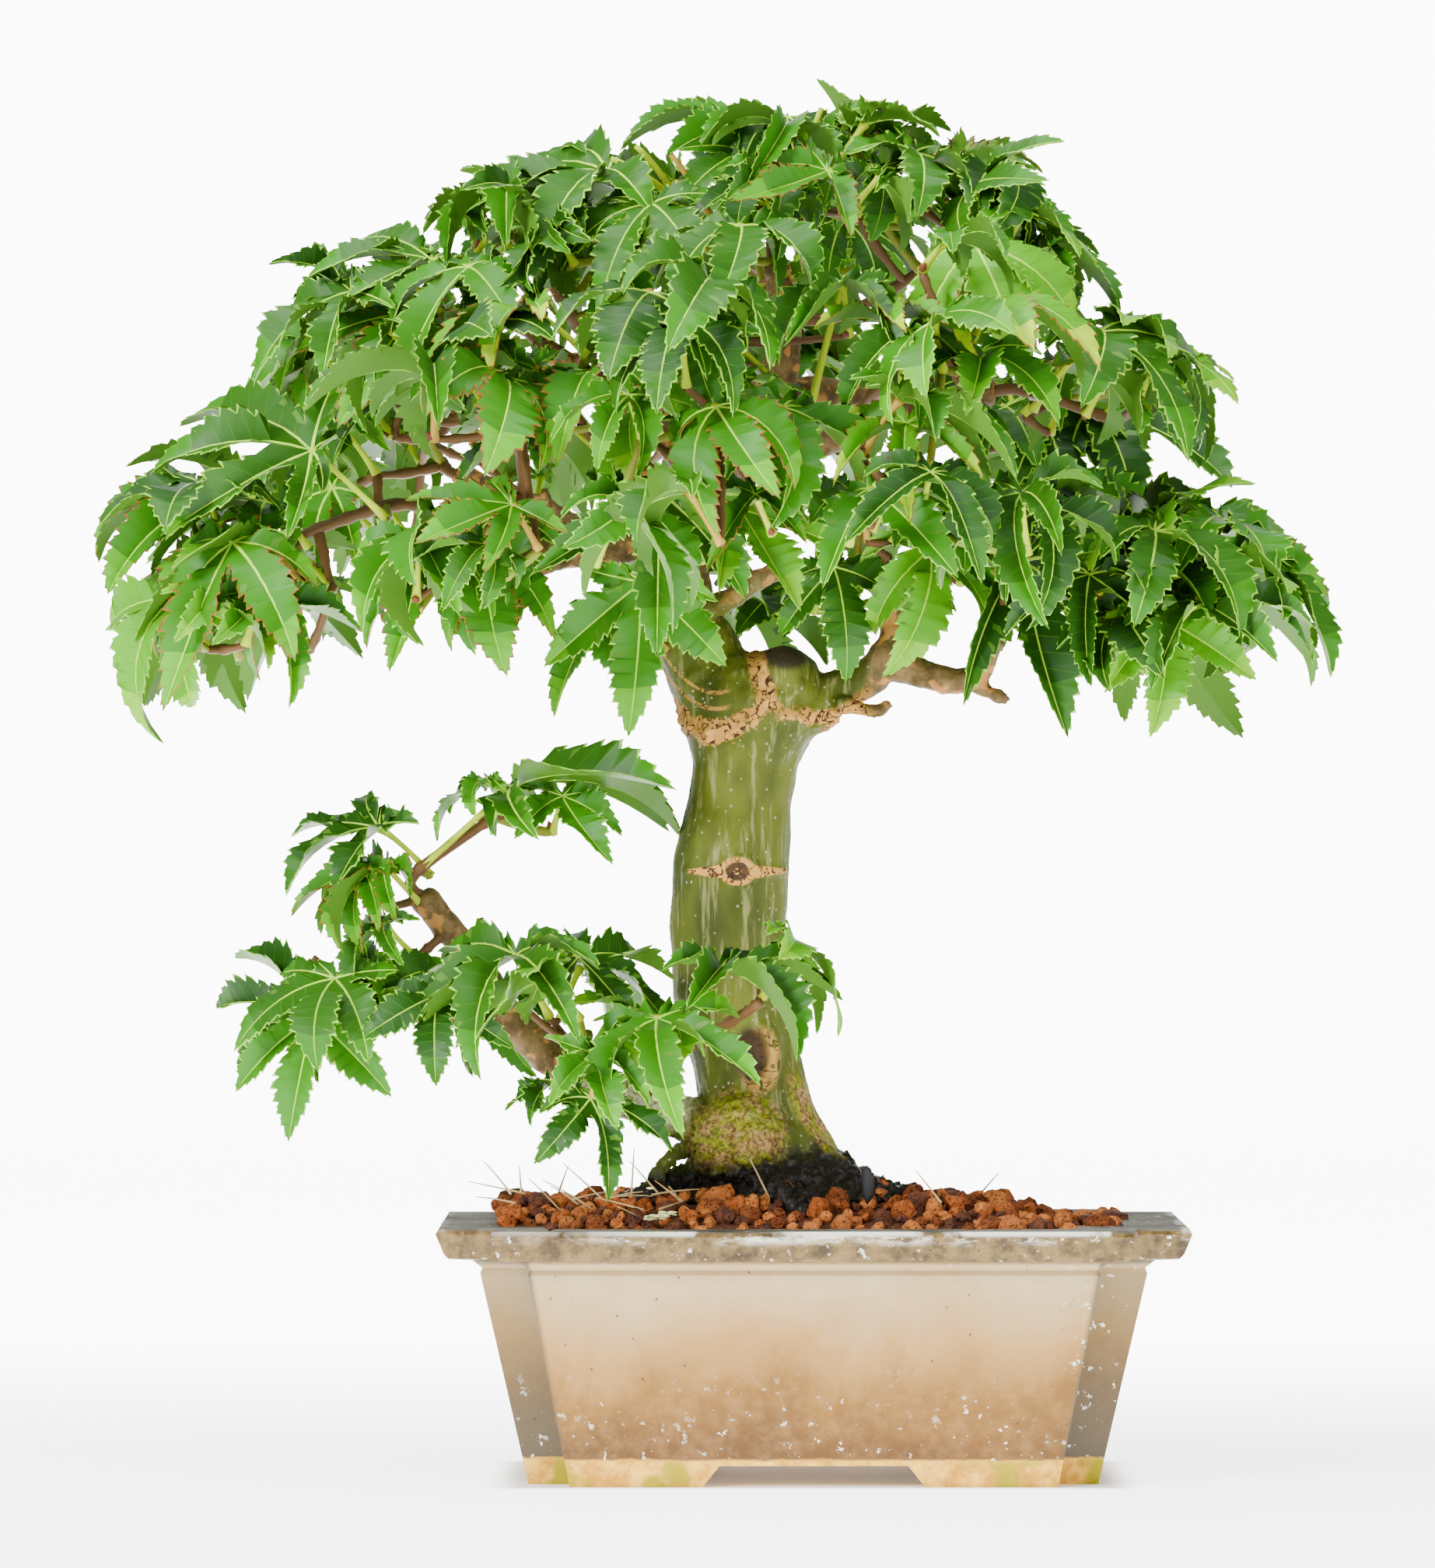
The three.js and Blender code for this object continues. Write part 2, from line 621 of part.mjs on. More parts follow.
// A place for a leaf's hub in a mass's space, on a dome that is spread evenly from its top down
// and outwards, and the way that the leaf faces there: outwards from the mass and the crown.
function leafPlace(name, k, random) {
  const { at, half, leaf } = MASSES[name];
  const depth = (0.5 + k * EVEN_STEPS[0]) % 1;
  const turn = 2 * Math.PI * k * EVEN_STEPS[1] + 0.5 * random();
  const spread = Math.sqrt(depth);
  const hub = new THREE.Vector3(
    at[0] + (half[0] - 0.45 * leaf) * spread * Math.cos(turn),
    at[1] + (half[1] - 0.45 * leaf) * spread * Math.sin(turn),
    at[2] + half[2] - 2 - depth * Math.max(2 * half[2] - 0.8 * leaf, 4) - 3 * random(),
  );
  const away = new THREE.Vector2(hub.x + 20, hub.y).normalize();
  const bearing = Math.atan2(Math.sin(turn) + away.y, Math.cos(turn) + away.x);
  const tilt = THREE.MathUtils.lerp(...LEAF_TILT, depth) + 0.35 * random();
  return { hub, bearing, tilt, roll: 0.5 * (random() - 0.5), climb: 0.6 + 0.5 * random() };
}

// One leaf with its stalk at such a place, turned and scaled. Gives nothing where it would leave
// the space or touch a limb.
function tryLeaf(name, place, turned, scale, balls) {
  const length = MASSES[name].leaf * scale;
  const { hub } = place;
  const { out, side, matrix } = leafAxes(place.bearing + turned, place.tilt, place.roll);
  const { points, upper, faces, joint } = leafShape(length);
  matrix.setPosition(hub);
  points.forEach((point) => point.applyMatrix4(matrix));
  const root = hub.clone().addScaledVector(out, -PETIOLE.length * scale * Math.cos(place.climb));
  root.z -= PETIOLE.length * scale * Math.sin(place.climb);
  const blade = [...points, ...upper.flatMap((face) => spotsOn(face.map((i) => points[i])))];
  const stalk = pointsAlong(root, hub, 4);
  if (![...blade, ...stalk].every((point) => inOwnSpace(name, point))) return null;
  if (!blade.every((point) => isClear(point, balls, BLADE_CLEARANCE))) return null;
  if (!stalk.every((point) => isClear(point, balls, TWIG_CLEARANCE))) return null;
  const solid = toSolid(bufferGeometry(points, [...faces, joint.toReversed()]));
  return { points, faces, joint, side, root, hub, solid };
}

// The first leaf that fits at a place clear of the mass's other leaves: as it should lie, then
// turned aside, then smaller.
function fitLeaf(name, place, balls, others) {
  for (const scale of LEAF_SCALES) {
    for (const turned of LEAF_TURNS) {
      const leaf = tryLeaf(name, place, turned, scale, balls);
      const shared = (other) => other.solid.intersect(leaf.solid).volume();
      if (leaf && others.every((other) => shared(other) < LEAF_CROSSING)) return leaf;
    }
  }
  return null;
}

function foliage(name, seed) {
  const random = makeRandom(seed);
  const mass = MASSES[name];
  const stem = STEMS[name];
  const balls = [...limbBalls(), ...stemBalls(name)];
  const joints = stem.getSpacedPoints(8).slice(3);
  const pieces = [taperedTube(stem, [STEM_RADIUS, TWIG_RADIUS], 5, 3)];
  const leaves = [];
  for (let k = 0; k < LEAF_TRIES && leaves.length < mass.count; k++) {
    const place = leafPlace(name, k, random);
    if (leaves.some(({ hub }) => hub.distanceTo(place.hub) < LEAF_SPACING * mass.leaf)) continue;
    const leaf = fitLeaf(name, place, balls, leaves);
    if (!leaf) continue;
    const from = joints.reduce((a, b) => (b.distanceTo(leaf.root) < a.distanceTo(leaf.root) ? b : a));
    if (!pointsAlong(from, leaf.root, 5).every((point) => isClear(point, balls, TWIG_CLEARANCE))) continue;
    pieces.push(leafOnTwig(leaf, from));
    joints.push(leaf.root);
    leaves.push(leaf);
  }
  const joined = wasm.Manifold.union(pieces).simplify(0.08);
  return mainBody(toSolid(toGeometry(joined)));
}

// ---- the whole plant ----

const plant = new THREE.Group();
plant.add(namedMesh("pot", pot(), CERAMIC));
plant.add(namedMesh("soil", soil(), SOIL));
plant.add(namedMesh("trunk", trunk(), BARK));
Object.keys(LIMBS).forEach((name) => plant.add(namedMesh(name, limb(name), SHOOT)));
Object.keys(MASSES).forEach((name, i) => plant.add(namedMesh(name, foliage(name, i + 1), FOLIAGE)));

const reach = new THREE.Box3().setFromObject(plant);
const middle = reach.getCenter(new THREE.Vector3());
plant.position.set(-middle.x, -middle.y, -reach.min.z);

const part = new THREE.Group();
part.add(plant);
export default part;
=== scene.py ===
# %% [markdown]
# # A small bonsai maple in a glazed tray
# The tree is about 263 mm high and stands in a tray 140 mm long. The imported part gives every
# piece its place, so it is loaded first and the tray's box is kept.

# %% Load the part
import math

import bmesh
import bpy
import numpy as np
from mathutils import Matrix, Vector, noise
from mathutils.bvhtree import BVHTree


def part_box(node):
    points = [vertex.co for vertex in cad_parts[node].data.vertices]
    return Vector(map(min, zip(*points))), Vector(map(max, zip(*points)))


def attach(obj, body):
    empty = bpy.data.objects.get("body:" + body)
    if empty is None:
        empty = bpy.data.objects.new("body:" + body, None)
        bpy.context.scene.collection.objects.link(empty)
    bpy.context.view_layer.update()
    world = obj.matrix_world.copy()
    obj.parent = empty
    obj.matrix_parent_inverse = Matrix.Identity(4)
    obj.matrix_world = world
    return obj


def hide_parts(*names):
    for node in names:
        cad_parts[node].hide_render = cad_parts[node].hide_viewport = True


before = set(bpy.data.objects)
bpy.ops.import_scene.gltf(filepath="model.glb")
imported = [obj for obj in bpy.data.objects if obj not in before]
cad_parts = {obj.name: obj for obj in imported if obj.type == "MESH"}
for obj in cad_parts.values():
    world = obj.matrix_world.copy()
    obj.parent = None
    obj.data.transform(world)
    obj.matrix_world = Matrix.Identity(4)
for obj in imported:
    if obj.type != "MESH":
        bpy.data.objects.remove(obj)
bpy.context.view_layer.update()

MM = 0.001
pot_low, pot_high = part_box("pot")
POT_MIDDLE = np.array([(pot_low.x + pot_high.x) / 2, (pot_low.y + pot_high.y) / 2, 0.0])
print("middle of the tray", POT_MIDDLE.round(4), "nodes", len(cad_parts))


def spot(x, y, z):
    """A place given in millimetres from the middle of the tray's base."""
    return Vector((POT_MIDDLE[0] + x * MM, POT_MIDDLE[1] + y * MM, z * MM))


# %% [markdown]
# ## Camera, floor and light
# A tree like this is looked at from straight in front, at half its height, with a long lens, so
# that the tray's sides hardly draw together. The floor is a pale sheet that sweeps up behind and
# glows there. One wide soft light hangs overhead, and two smaller ones stand at the front, the
# stronger of them on the left.

# %% The camera
SIGHT = {"side": -17.85, "back": 1800, "height": 130.3, "lens": 219, "clip": (0.05, 30)}


def add_camera():
    data = bpy.data.cameras.new("camera")
    data.lens = SIGHT["lens"]
    data.clip_start, data.clip_end = SIGHT["clip"]
    camera = bpy.data.objects.new("camera", data)
    bpy.context.scene.collection.objects.link(camera)
    camera.location = spot(SIGHT["side"], -SIGHT["back"], SIGHT["height"])
    camera.rotation_euler = (math.pi / 2, 0, 0)
    bpy.context.scene.camera = camera


add_camera()
print("camera", SIGHT["lens"], "mm lens,", SIGHT["back"], "mm in front of the trunk")

# %% [markdown]
# ## Finishes as sums
# A finish is a small sum of patterns. The class below wraps one socket, so that a sum written in
# Python adds the Math nodes, and one method adds every other kind of node.


# %% Sums on sockets
class Amount:
    """The output of a node in a finish. Sums on it add Math nodes."""

    def __init__(self, finish, socket):
        self.finish = finish
        self.socket = socket

    def sum(self, operation, first, second=0.0):
        return self.finish.node("ShaderNodeMath", {"operation": operation}, [first, second])

    def __add__(self, other):
        return self.sum("ADD", self, other)

    def __sub__(self, other):
        return self.sum("SUBTRACT", self, other)

    def __rsub__(self, other):
        return self.sum("SUBTRACT", other, self)

    def __mul__(self, other):
        return self.sum("MULTIPLY", self, other)

    def __truediv__(self, other):
        return self.sum("DIVIDE", self, other)

    def __pow__(self, other):
        return self.sum("POWER", self, other)

    def __abs__(self):
        return self.sum("ABSOLUTE", self)

    def top(self, other):
        return self.sum("MAXIMUM", self, other)

    __radd__ = __add__
    __rmul__ = __mul__


class Finish:
    """A material and the nodes that make it."""

    def __init__(self, name, **fixed):
        self.material = bpy.data.materials.new(name)
        self.material.use_nodes = True
        self.tree = self.material.node_tree
        self.skin = self.tree.nodes["Principled BSDF"]
        for socket, value in fixed.items():
            self.skin.inputs[socket.replace("_", " ")].default_value = value

    def node(self, kind, settings, inputs, output=0):
        """Adds a node: its settings go first, then the values or links of its sockets."""
        node = self.tree.nodes.new(kind)
        for key, value in settings.items():
            if key == "stops":
                self.set_stops(node.color_ramp, value)
            else:
                setattr(node, key, value)
        pairs = inputs.items() if isinstance(inputs, dict) else enumerate(inputs)
        for key, value in pairs:
            self.feed(node.inputs[key], value)
        return Amount(self, node.outputs[output])

    def set_stops(self, ramp, stops):
        while len(ramp.elements) < len(stops):
            ramp.elements.new(0.5)
        for element, (place, colour) in zip(ramp.elements, stops):
            element.position = place
            element.color = (*colour, 1)

    def feed(self, socket, value):
        if isinstance(value, Amount):
            self.tree.links.new(value.socket, socket)
        elif hasattr(value, "__len__") and len(value) == 3 and socket.type == "RGBA":
            socket.default_value = (*value, 1)
        else:
            socket.default_value = value

    def set(self, **inputs):
        for socket, value in inputs.items():
            self.feed(self.skin.inputs[socket.replace("_", " ")], value)

    def place(self, scale=(1, 1, 1)):
        """Millimetres from the middle of the tray's base, stretched by a scale."""
        here = self.node("ShaderNodeTexCoord", {}, [], "Object")
        size = tuple(s / MM for s in scale)
        shift = tuple(-c * s for c, s in zip(POT_MIDDLE, size))
        inputs = {"Vector": here, "Location": shift, "Scale": size}
        return self.node("ShaderNodeMapping", {}, inputs)

    def axes(self):
        apart = self.node("ShaderNodeSeparateXYZ", {}, [self.place()])
        node = apart.socket.node
        return [Amount(self, node.outputs[i]) for i in range(3)]

    def noise(self, size, scale=(1, 1, 1), detail=3.0, rough=0.55, twist=0.0):
        """Cloudy noise with lumps of about a size in millimetres, from 0 to 1."""
        inputs = {"Vector": self.place(scale), "Scale": 1 / size, "Detail": detail}
        inputs.update(Roughness=rough, Distortion=twist)
        return self.node("ShaderNodeTexNoise", {}, inputs)

    def cells(self, size, scale=(1, 1, 1)):
        """How far the nearest of many scattered points is, over a size in millimetres."""
        inputs = {"Vector": self.place(scale), "Scale": 1 / size}
        return self.node("ShaderNodeTexVoronoi", {}, inputs)

    def ease(self, amount, low, high):
        """0 below low and 1 above high, or the other way round, with a smooth step between."""
        settings = {"interpolation_type": "SMOOTHSTEP"}
        inputs = {"Value": amount, 1: low, 2: high, 3: 0.0, 4: 1.0}
        return self.node("ShaderNodeMapRange", settings, inputs)

    def mix(self, share, first, second):
        return self.node("ShaderNodeMix", {"data_type": "RGBA"}, {0: share, 6: first, 7: second}, 2)

    def coats(self, shade, *coats):
        """Lays coats over a shade in turn: how much of each shows, and its shade."""
        for share, coat in coats:
            shade = self.mix(share, shade, coat)
        return shade

    def bump(self, height, distance):
        """Relief: height from 0 to 1 over a distance in millimetres."""
        inputs = {"Height": height, "Distance": distance * MM, "Strength": 1.0}
        self.set(Normal=self.node("ShaderNodeBump", {}, inputs))

    def near(self, centre, reach, soft=0.5):
        """1 within a reach in millimetres of a place, fading to 0 outside it."""
        away = 0.0
        for amount, middle, size in zip(self.axes(), centre, reach):
            away = ((amount - middle) / size) ** 2 + away
        return self.ease(away, 1 + soft, 1 - soft)


print("helpers for finishes are ready")


# %% Floor and lights
def select_only(piece=None):
    if bpy.context.mode != "OBJECT":
        bpy.ops.object.mode_set(mode="OBJECT")
    bpy.ops.object.select_all(action="DESELECT")
    if piece:
        piece.select_set(True)
        bpy.context.view_layer.objects.active = piece


def pick(kind, test):
    """In edit mode, selects the elements of one kind that pass a test, and no others."""
    piece = bpy.context.edit_object
    bpy.ops.mesh.select_mode(type=kind)
    bpy.ops.mesh.select_all(action="DESELECT")
    mesh = bmesh.from_edit_mesh(piece.data)
    for item in {"VERT": mesh.verts, "EDGE": mesh.edges, "FACE": mesh.faces}[kind]:
        item.select_set(bool(test(item)))
    mesh.select_flush_mode()
    bmesh.update_edit_mesh(piece.data)


FLOOR = {"width": 8, "wall": 3.5, "sweep": 1.1}
PAPER = {"dim": (0.2, 0.2, 0.2), "lit": (3.6, 3.6, 3.6), "glowing": (9, 9, 9)}


def paper_finish():
    """Pale paper that glows where it lies behind the tree and less where the tree stands."""
    paper = Finish("pale_paper", Roughness=0.9, Emission_Strength=1.0)
    x, y, z = paper.axes()
    near_middle = paper.ease(abs(x), 750, 420) * paper.ease(z, 1300, 800)
    far = paper.ease(y, 60, 500) * near_middle
    below_tray = paper.ease(abs(x), 62, 54) * paper.ease(abs(y), 40, 32)
    near = paper.ease(abs(x), 420, 220) * paper.ease(y, -700, -300) * (1 - below_tray)
    paper.set(Base_Color=(0.9, 0.9, 0.9))
    glow = paper.coats(PAPER["dim"], (near, PAPER["lit"]), (far, PAPER["glowing"]))
    paper.set(Emission_Color=glow)
    return paper.material


def add_floor():
    select_only()
    bpy.ops.mesh.primitive_plane_add(size=FLOOR["width"], location=(0, 0, 0))
    floor = bpy.context.active_object
    floor.name = "floor"
    back = FLOOR["width"] / 2 - 0.1
    bpy.ops.object.mode_set(mode="EDIT")
    pick("EDGE", lambda edge: all(v.co.y > back for v in edge.verts))
    bpy.ops.mesh.extrude_region_move(TRANSFORM_OT_translate={"value": (0, 0, FLOOR["wall"])})
    pick("EDGE", lambda edge: all(v.co.y > back and abs(v.co.z) < 0.01 for v in edge.verts))
    bpy.ops.mesh.bevel(offset=FLOOR["sweep"], segments=16)
    select_only(floor)
    bpy.ops.object.shade_smooth()
    floor.data.materials.append(paper_finish())


def add_light(name, place, aim, size, power):
    data = bpy.data.lights.new(name, "AREA")
    data.shape = "RECTANGLE"
    data.size, data.size_y = size
    data.energy = power
    light = bpy.data.objects.new(name, data)
    bpy.context.scene.collection.objects.link(light)
    light.location = place
    light.rotation_euler = (Vector(aim) - Vector(place)).to_track_quat("-Z", "Y").to_euler()


# Lights: where each is and what it faces in metres, its size, and its power in watts.
TREE_HEART = spot(-20, 0, 150)
LIGHTS = {
    "overhead": ((-0.25, -0.25, 1.3), TREE_HEART, (1.0, 0.9), 27),
    "front_left": ((-1.3, -1.5, 0.9), TREE_HEART, (0.5, 0.5), 68),
    "front_right": ((1.4, -1.3, 0.6), TREE_HEART, (0.7, 0.7), 24),
    "backdrop_wash": ((0, 2.2, 1.6), (0, 3.6, 0.8), (2.5, 1.0), 40),
}
SKY_STRENGTH = 0.3


def light_studio():
    for name, light in LIGHTS.items():
        add_light(name, *light)
    world = bpy.data.worlds.new("studio")
    world.use_nodes = True
    sky = world.node_tree.nodes["Background"].inputs
    sky["Color"].default_value = (1, 1, 1, 1)
    sky["Strength"].default_value = SKY_STRENGTH
    bpy.context.scene.world = world


add_floor()
light_studio()
print("floor, backdrop and lights are in place")

# %% [markdown]
# ## The tray
# The real tray is slip-cast stoneware: a body that widens upwards, with a square step at each
# corner, a small cove under a stout rim, and feet cut out below. It could be lofted from outlines
# in code. Here a flat grid is given the plan's lines and its corners are taken away, and the
# sheet is then pulled up ring by ring, so each ring is one move that a potter's drawing shows.

# %% The tray's plan
TRAY = {
    "height": 48,
    "rim": (140, 96),
    "rim_height": 5.6,
    "foot_height": 4,
    "foot_width": 8,
    "base": (107.8, 67.4),
    "shoulder": (123.8, 80.1),
    "notch": 7.9,
    "gaps": (35, 20),
    "gap_slope": 3.4,
    "rim_width": 11.4,
    "floor": 9,
    "floor_inset": (14, 12),
    "drain": 6,
    "drains_apart": 48,
    "soft_edge": 0.85,
}
# The cove under the rim and the rim itself: how far each ring rises, and its length and depth.
COVE_HEIGHT = 2.8
COVE_RINGS = [(0.9, (123, 79.3)), (1.5, (126.5, 83)), (0.4, (135.4, 91.4)), (0.9, (137, 93))]
LIP_RING = (1, (139, 95))
BELOW_LIP = 1.9


def inside_notches():
    """How far the straight sides reach from the middle, before the corners step in."""
    return [TRAY["base"][i] / 2 - TRAY["notch"] for i in (0, 1)]


def plan_lines(length, gap):
    """Where the plan's grid lines lie along one side, from one end to the other."""
    half = length / 2
    marks = [half, half - TRAY["notch"], half - TRAY["notch"] - TRAY["foot_width"], gap / 2]
    return [-m for m in marks] + marks[::-1]


def add_plan():
    """A flat sheet with the tray's plan at the height where the feet begin."""
    select_only()
    bpy.ops.mesh.primitive_grid_add(x_subdivisions=7, y_subdivisions=7, size=1, location=(0, 0, 0))
    tray = bpy.context.active_object
    lines = [plan_lines(TRAY["base"][i], TRAY["gaps"][i]) for i in (0, 1)]
    for vertex in tray.data.vertices:
        column, row = (round((vertex.co[i] + 0.5) * 7) for i in (0, 1))
        vertex.co = spot(lines[0][column], lines[1][row], TRAY["foot_height"])
    ends = inside_notches()
    bpy.ops.object.mode_set(mode="EDIT")

    def in_corner(face):
        middle = (np.array(face.calc_center_median()) - POT_MIDDLE) / MM
        return abs(middle[0]) > ends[0] and abs(middle[1]) > ends[1]

    pick("FACE", in_corner)
    bpy.ops.mesh.delete(type="FACE")
    return tray


def grow(rise, size, was):
    """Pulls the selected faces up and sets the size of the new ring."""
    bpy.ops.mesh.extrude_region_move(TRANSFORM_OT_translate={"value": (0, 0, rise * MM)})
    scale = (size[0] / was[0], size[1] / was[1], 1)
    bpy.ops.transform.resize(value=scale, center_override=tuple(POT_MIDDLE))
    return size


def raise_walls():
    """The outside of the tray, its rim, and the hollow down to its floor."""
    underside = TRAY["height"] - TRAY["rim_height"]
    rings = [(underside - COVE_HEIGHT - TRAY["foot_height"], TRAY["shoulder"]), *COVE_RINGS]
    rings += [(TRAY["rim_height"] - BELOW_LIP, TRAY["rim"]), LIP_RING]
    bpy.ops.mesh.select_all(action="SELECT")
    size = TRAY["base"]
    for rise, wide in rings:
        size = grow(rise, wide, size)
    bpy.ops.mesh.inset(thickness=TRAY["rim_width"] * MM, use_boundary=True)
    inner = [s - 2 * TRAY["rim_width"] for s in size]
    mouth = grow(-TRAY["rim_height"], [s - 1 for s in inner], inner)
    bottom = [s - inset for s, inset in zip(inner, TRAY["floor_inset"])]
    grow(TRAY["floor"] - underside, bottom, mouth)


def pull_feet():
    """Feet round the four corners, with sloping ends."""
    ends = inside_notches()
    inner = [e - TRAY["foot_width"] for e in ends]
    gaps = [g / 2 for g in TRAY["gaps"]]

    def under_foot(face):
        if face.normal.z > -0.9 or face.calc_center_median().z > 5 * MM:
            return False
        x, y = (abs(face.calc_center_median()[i] - POT_MIDDLE[i]) / MM for i in (0, 1))
        along = y > ends[1] and x > gaps[0]
        across = x > ends[0] and y > gaps[1]
        return along or across or (x > inner[0] and y > inner[1])

    pick("FACE", under_foot)
    drop = (0, 0, -TRAY["foot_height"] * MM)
    bpy.ops.mesh.extrude_region_move(TRANSFORM_OT_translate={"value": drop})
    bpy.ops.transform.resize(value=(0.984, 0.98, 1), center_override=tuple(POT_MIDDLE))
    for axis in (0, 1):
        for side in (-1, 1):
            edge = gaps[axis] * 0.985

            def at_gap(vertex):
                away = side * (vertex.co[axis] - POT_MIDDLE[axis]) / MM
                return vertex.co.z < 0.5 * MM and abs(away - edge) < 0.5

            pick("VERT", at_gap)
            shift = [0, 0, 0]
            shift[axis] = side * TRAY["gap_slope"] * MM
            bpy.ops.transform.translate(value=shift)


def cut_with(piece, cutter):
    """Cuts one piece with another, which is then deleted."""
    cut = piece.modifiers.new("cut", "BOOLEAN")
    cut.operation = "DIFFERENCE"
    cut.solver = "EXACT"
    cut.object = cutter
    select_only(piece)
    bpy.ops.object.modifier_apply(modifier="cut")
    bpy.data.objects.remove(cutter)


def soften(piece):
    """Rounds the sharp edges of a piece."""
    bevel = piece.modifiers.new("soften", "BEVEL")
    bevel.width = TRAY["soft_edge"] * MM
    bevel.segments = 4
    bevel.limit_method = "ANGLE"
    bevel.angle_limit = math.radians(30)
    select_only(piece)
    bpy.ops.object.modifier_apply(modifier="soften")


def model_tray():
    tray = add_plan()
    raise_walls()
    pull_feet()
    bpy.ops.mesh.select_all(action="SELECT")
    bpy.ops.mesh.remove_doubles(threshold=0.00001)
    bpy.ops.mesh.normals_make_consistent(inside=False)
    select_only(tray)
    for side in (-1, 1):
        bpy.ops.mesh.primitive_cylinder_add(
            radius=TRAY["drain"] * MM, depth=0.03, vertices=32,
            location=spot(side * TRAY["drains_apart"] / 2, 0, 5),
        )
        cut_with(tray, bpy.context.active_object)
    soften(tray)
    bpy.ops.object.shade_smooth_by_angle(angle=math.radians(35))
    tray.name = "glazed_tray"
    return tray


tray = model_tray()
print("tray", len(tray.data.polygons), "faces")

# %% [markdown]
# ### Its glaze
# An ash glaze runs thin and dark on edges and pools pale on the flats. Near the rim it is grey
# cream, lower down warm brown, and in the steps of the corners blue grey. Lime from the water
# has dried in a white crust along the rim and in flecks below. The feet are bare clay with algae.


# %% The glaze
GLAZE_BODY = [
    (0.0, (0.085, 0.032, 0.001)),
    (0.3, (0.19, 0.085, 0.004)),
    (0.62, (0.37, 0.2, 0.046)),
    (1.0, (0.47, 0.35, 0.19)),
]
# Pairs go from the darker shade to the paler one.
GLAZE = {
    "mottle": (0.42, 0.23, 0.07),
    "post": ((0.085, 0.052, 0.01), (0.2, 0.2, 0.15)),
    # Painted shade for the crease where each corner step meets the body.
    "crease_shade": (0.06, 0.056, 0.034),
    "rim": ((0.035, 0.019, 0.003), (0.19, 0.12, 0.035)),
    "rim_top": ((0.05, 0.04, 0.024), (0.15, 0.14, 0.11)),
    "lime": (0.8, 0.76, 0.64),
    "fleck": (0.95, 0.92, 0.8),
    # Painted shade inside the pinholes.
    "shaded_pinhole": (0.035, 0.025, 0.018),
    "clay": ((0.5, 0.23, 0.015), (0.86, 0.52, 0.08)),
    "algae": (0.3, 0.27, 0.001),
}


def glaze():
    finish = Finish("ash_glaze", Specular_IOR_Level=0.22, Coat_Roughness=0.2)
    ease, mix = finish.ease, finish.mix
    x, y, z = finish.axes()
    cloud = finish.noise(26, detail=5, rough=0.6, twist=0.6)
    fine = finish.noise(3.2, detail=4, rough=0.65)
    height = ease(z + (cloud - 0.5) * 26, 2, 46)
    body = finish.node("ShaderNodeValToRGB", {"stops": GLAZE_BODY}, [height])
    past_x = abs(x) - z * 0.175 - 46.2
    past_y = abs(y) - z * 0.15 - 25.9
    at_corner = ease(past_x, -0.8, 0.1) * ease(past_y, -1.3, -0.5)
    # Painted shade: a dark line in the crease where each corner step meets the body.
    crease_shade = ease(abs(past_x), 1.7, 0.2) * ease(past_y, -1, 0)
    crease_shade = crease_shade.top(ease(abs(past_y), 1.7, 0.2) * ease(past_x, -1, 0))
    on_rim, on_top = ease(z, 41.2, 42.4), ease(z, 47.5, 47.9)
    crust_patch = ease(finish.noise(9, scale=(0.5, 1, 1.6), detail=6, rough=0.75), 0.5, 0.62)
    outer = ease(abs(y), 45.2, 46.8).top(ease(abs(x), 67.2, 68.8))
    from_left = ease(x, -48, -20) * 0.75 + 0.25
    along_edge = outer * ease(z, 46.8, 47.6) * ease(cloud, 0.42, 0.52)
    crust = crust_patch.top(along_edge) * ease(z, 44.9, 47.4) * outer * from_left * 0.9
    fleck_zone = ease(finish.noise(14, detail=2), 0.36, 0.56)
    fleck_zone = fleck_zone * ease(z, 24, 7).top(ease(x - z * 0.16, 38, 46)).top(on_rim * 0.6)
    fleck = ease(finish.noise(1.9, detail=3, rough=0.65), 0.63, 0.66) * fleck_zone
    # Pinholes: a dip in the relief, and a near-black colour that is painted shade inside them.
    shaded_pinhole = ease(finish.cells(3.9, scale=(1.1, 1.1, 1)), 0.07, 0.04)
    bare = ease(z + (fine - 0.5) * 1.6, 5.4, 4.8)
    algae = ease(finish.noise(11, detail=3) + abs(x) * 0.004, 0.62, 0.74) * ease(z, 6, 4)
    clay = mix(algae * 0.9, mix(ease(fine, 0.3, 0.7), *GLAZE["clay"]), GLAZE["algae"])
    finish.set(Base_Color=finish.coats(
        body,
        (ease(fine, 0.35, 0.75) * 0.3, GLAZE["mottle"]),
        (at_corner * ease(cloud, 0.25, 0.6) * 0.9, mix(ease(z, 14, 40), *GLAZE["post"])),
        (crease_shade * 0.9, GLAZE["crease_shade"]),
        (on_rim, mix(ease(fine, 0.3, 0.7), *GLAZE["rim"])),
        (on_top, mix(ease(cloud, 0.3, 0.6), *GLAZE["rim_top"])),
        (crust, GLAZE["lime"]),
        (fleck * 0.85, GLAZE["fleck"]),
        (shaded_pinhole * 0.8, GLAZE["shaded_pinhole"]),
        (bare, clay),
    ))
    dull = bare.top(on_top)
    finish.set(Roughness=ease(fine, 0.1, 0.9) * 0.16 + 0.28 + dull * 0.5 + crust * 0.3)
    finish.set(Coat_Weight=(1 - dull) * 0.12)
    finish.bump(fine * 0.35 + cloud * 0.5 + crust * 0.3 + fleck * 0.25 - shaded_pinhole * 0.4, 0.35)
    return finish.material


tray.data.materials.append(glaze())
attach(tray, "root")
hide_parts("pot")
print("the glaze has", len(tray.data.materials[0].node_tree.nodes), "nodes")

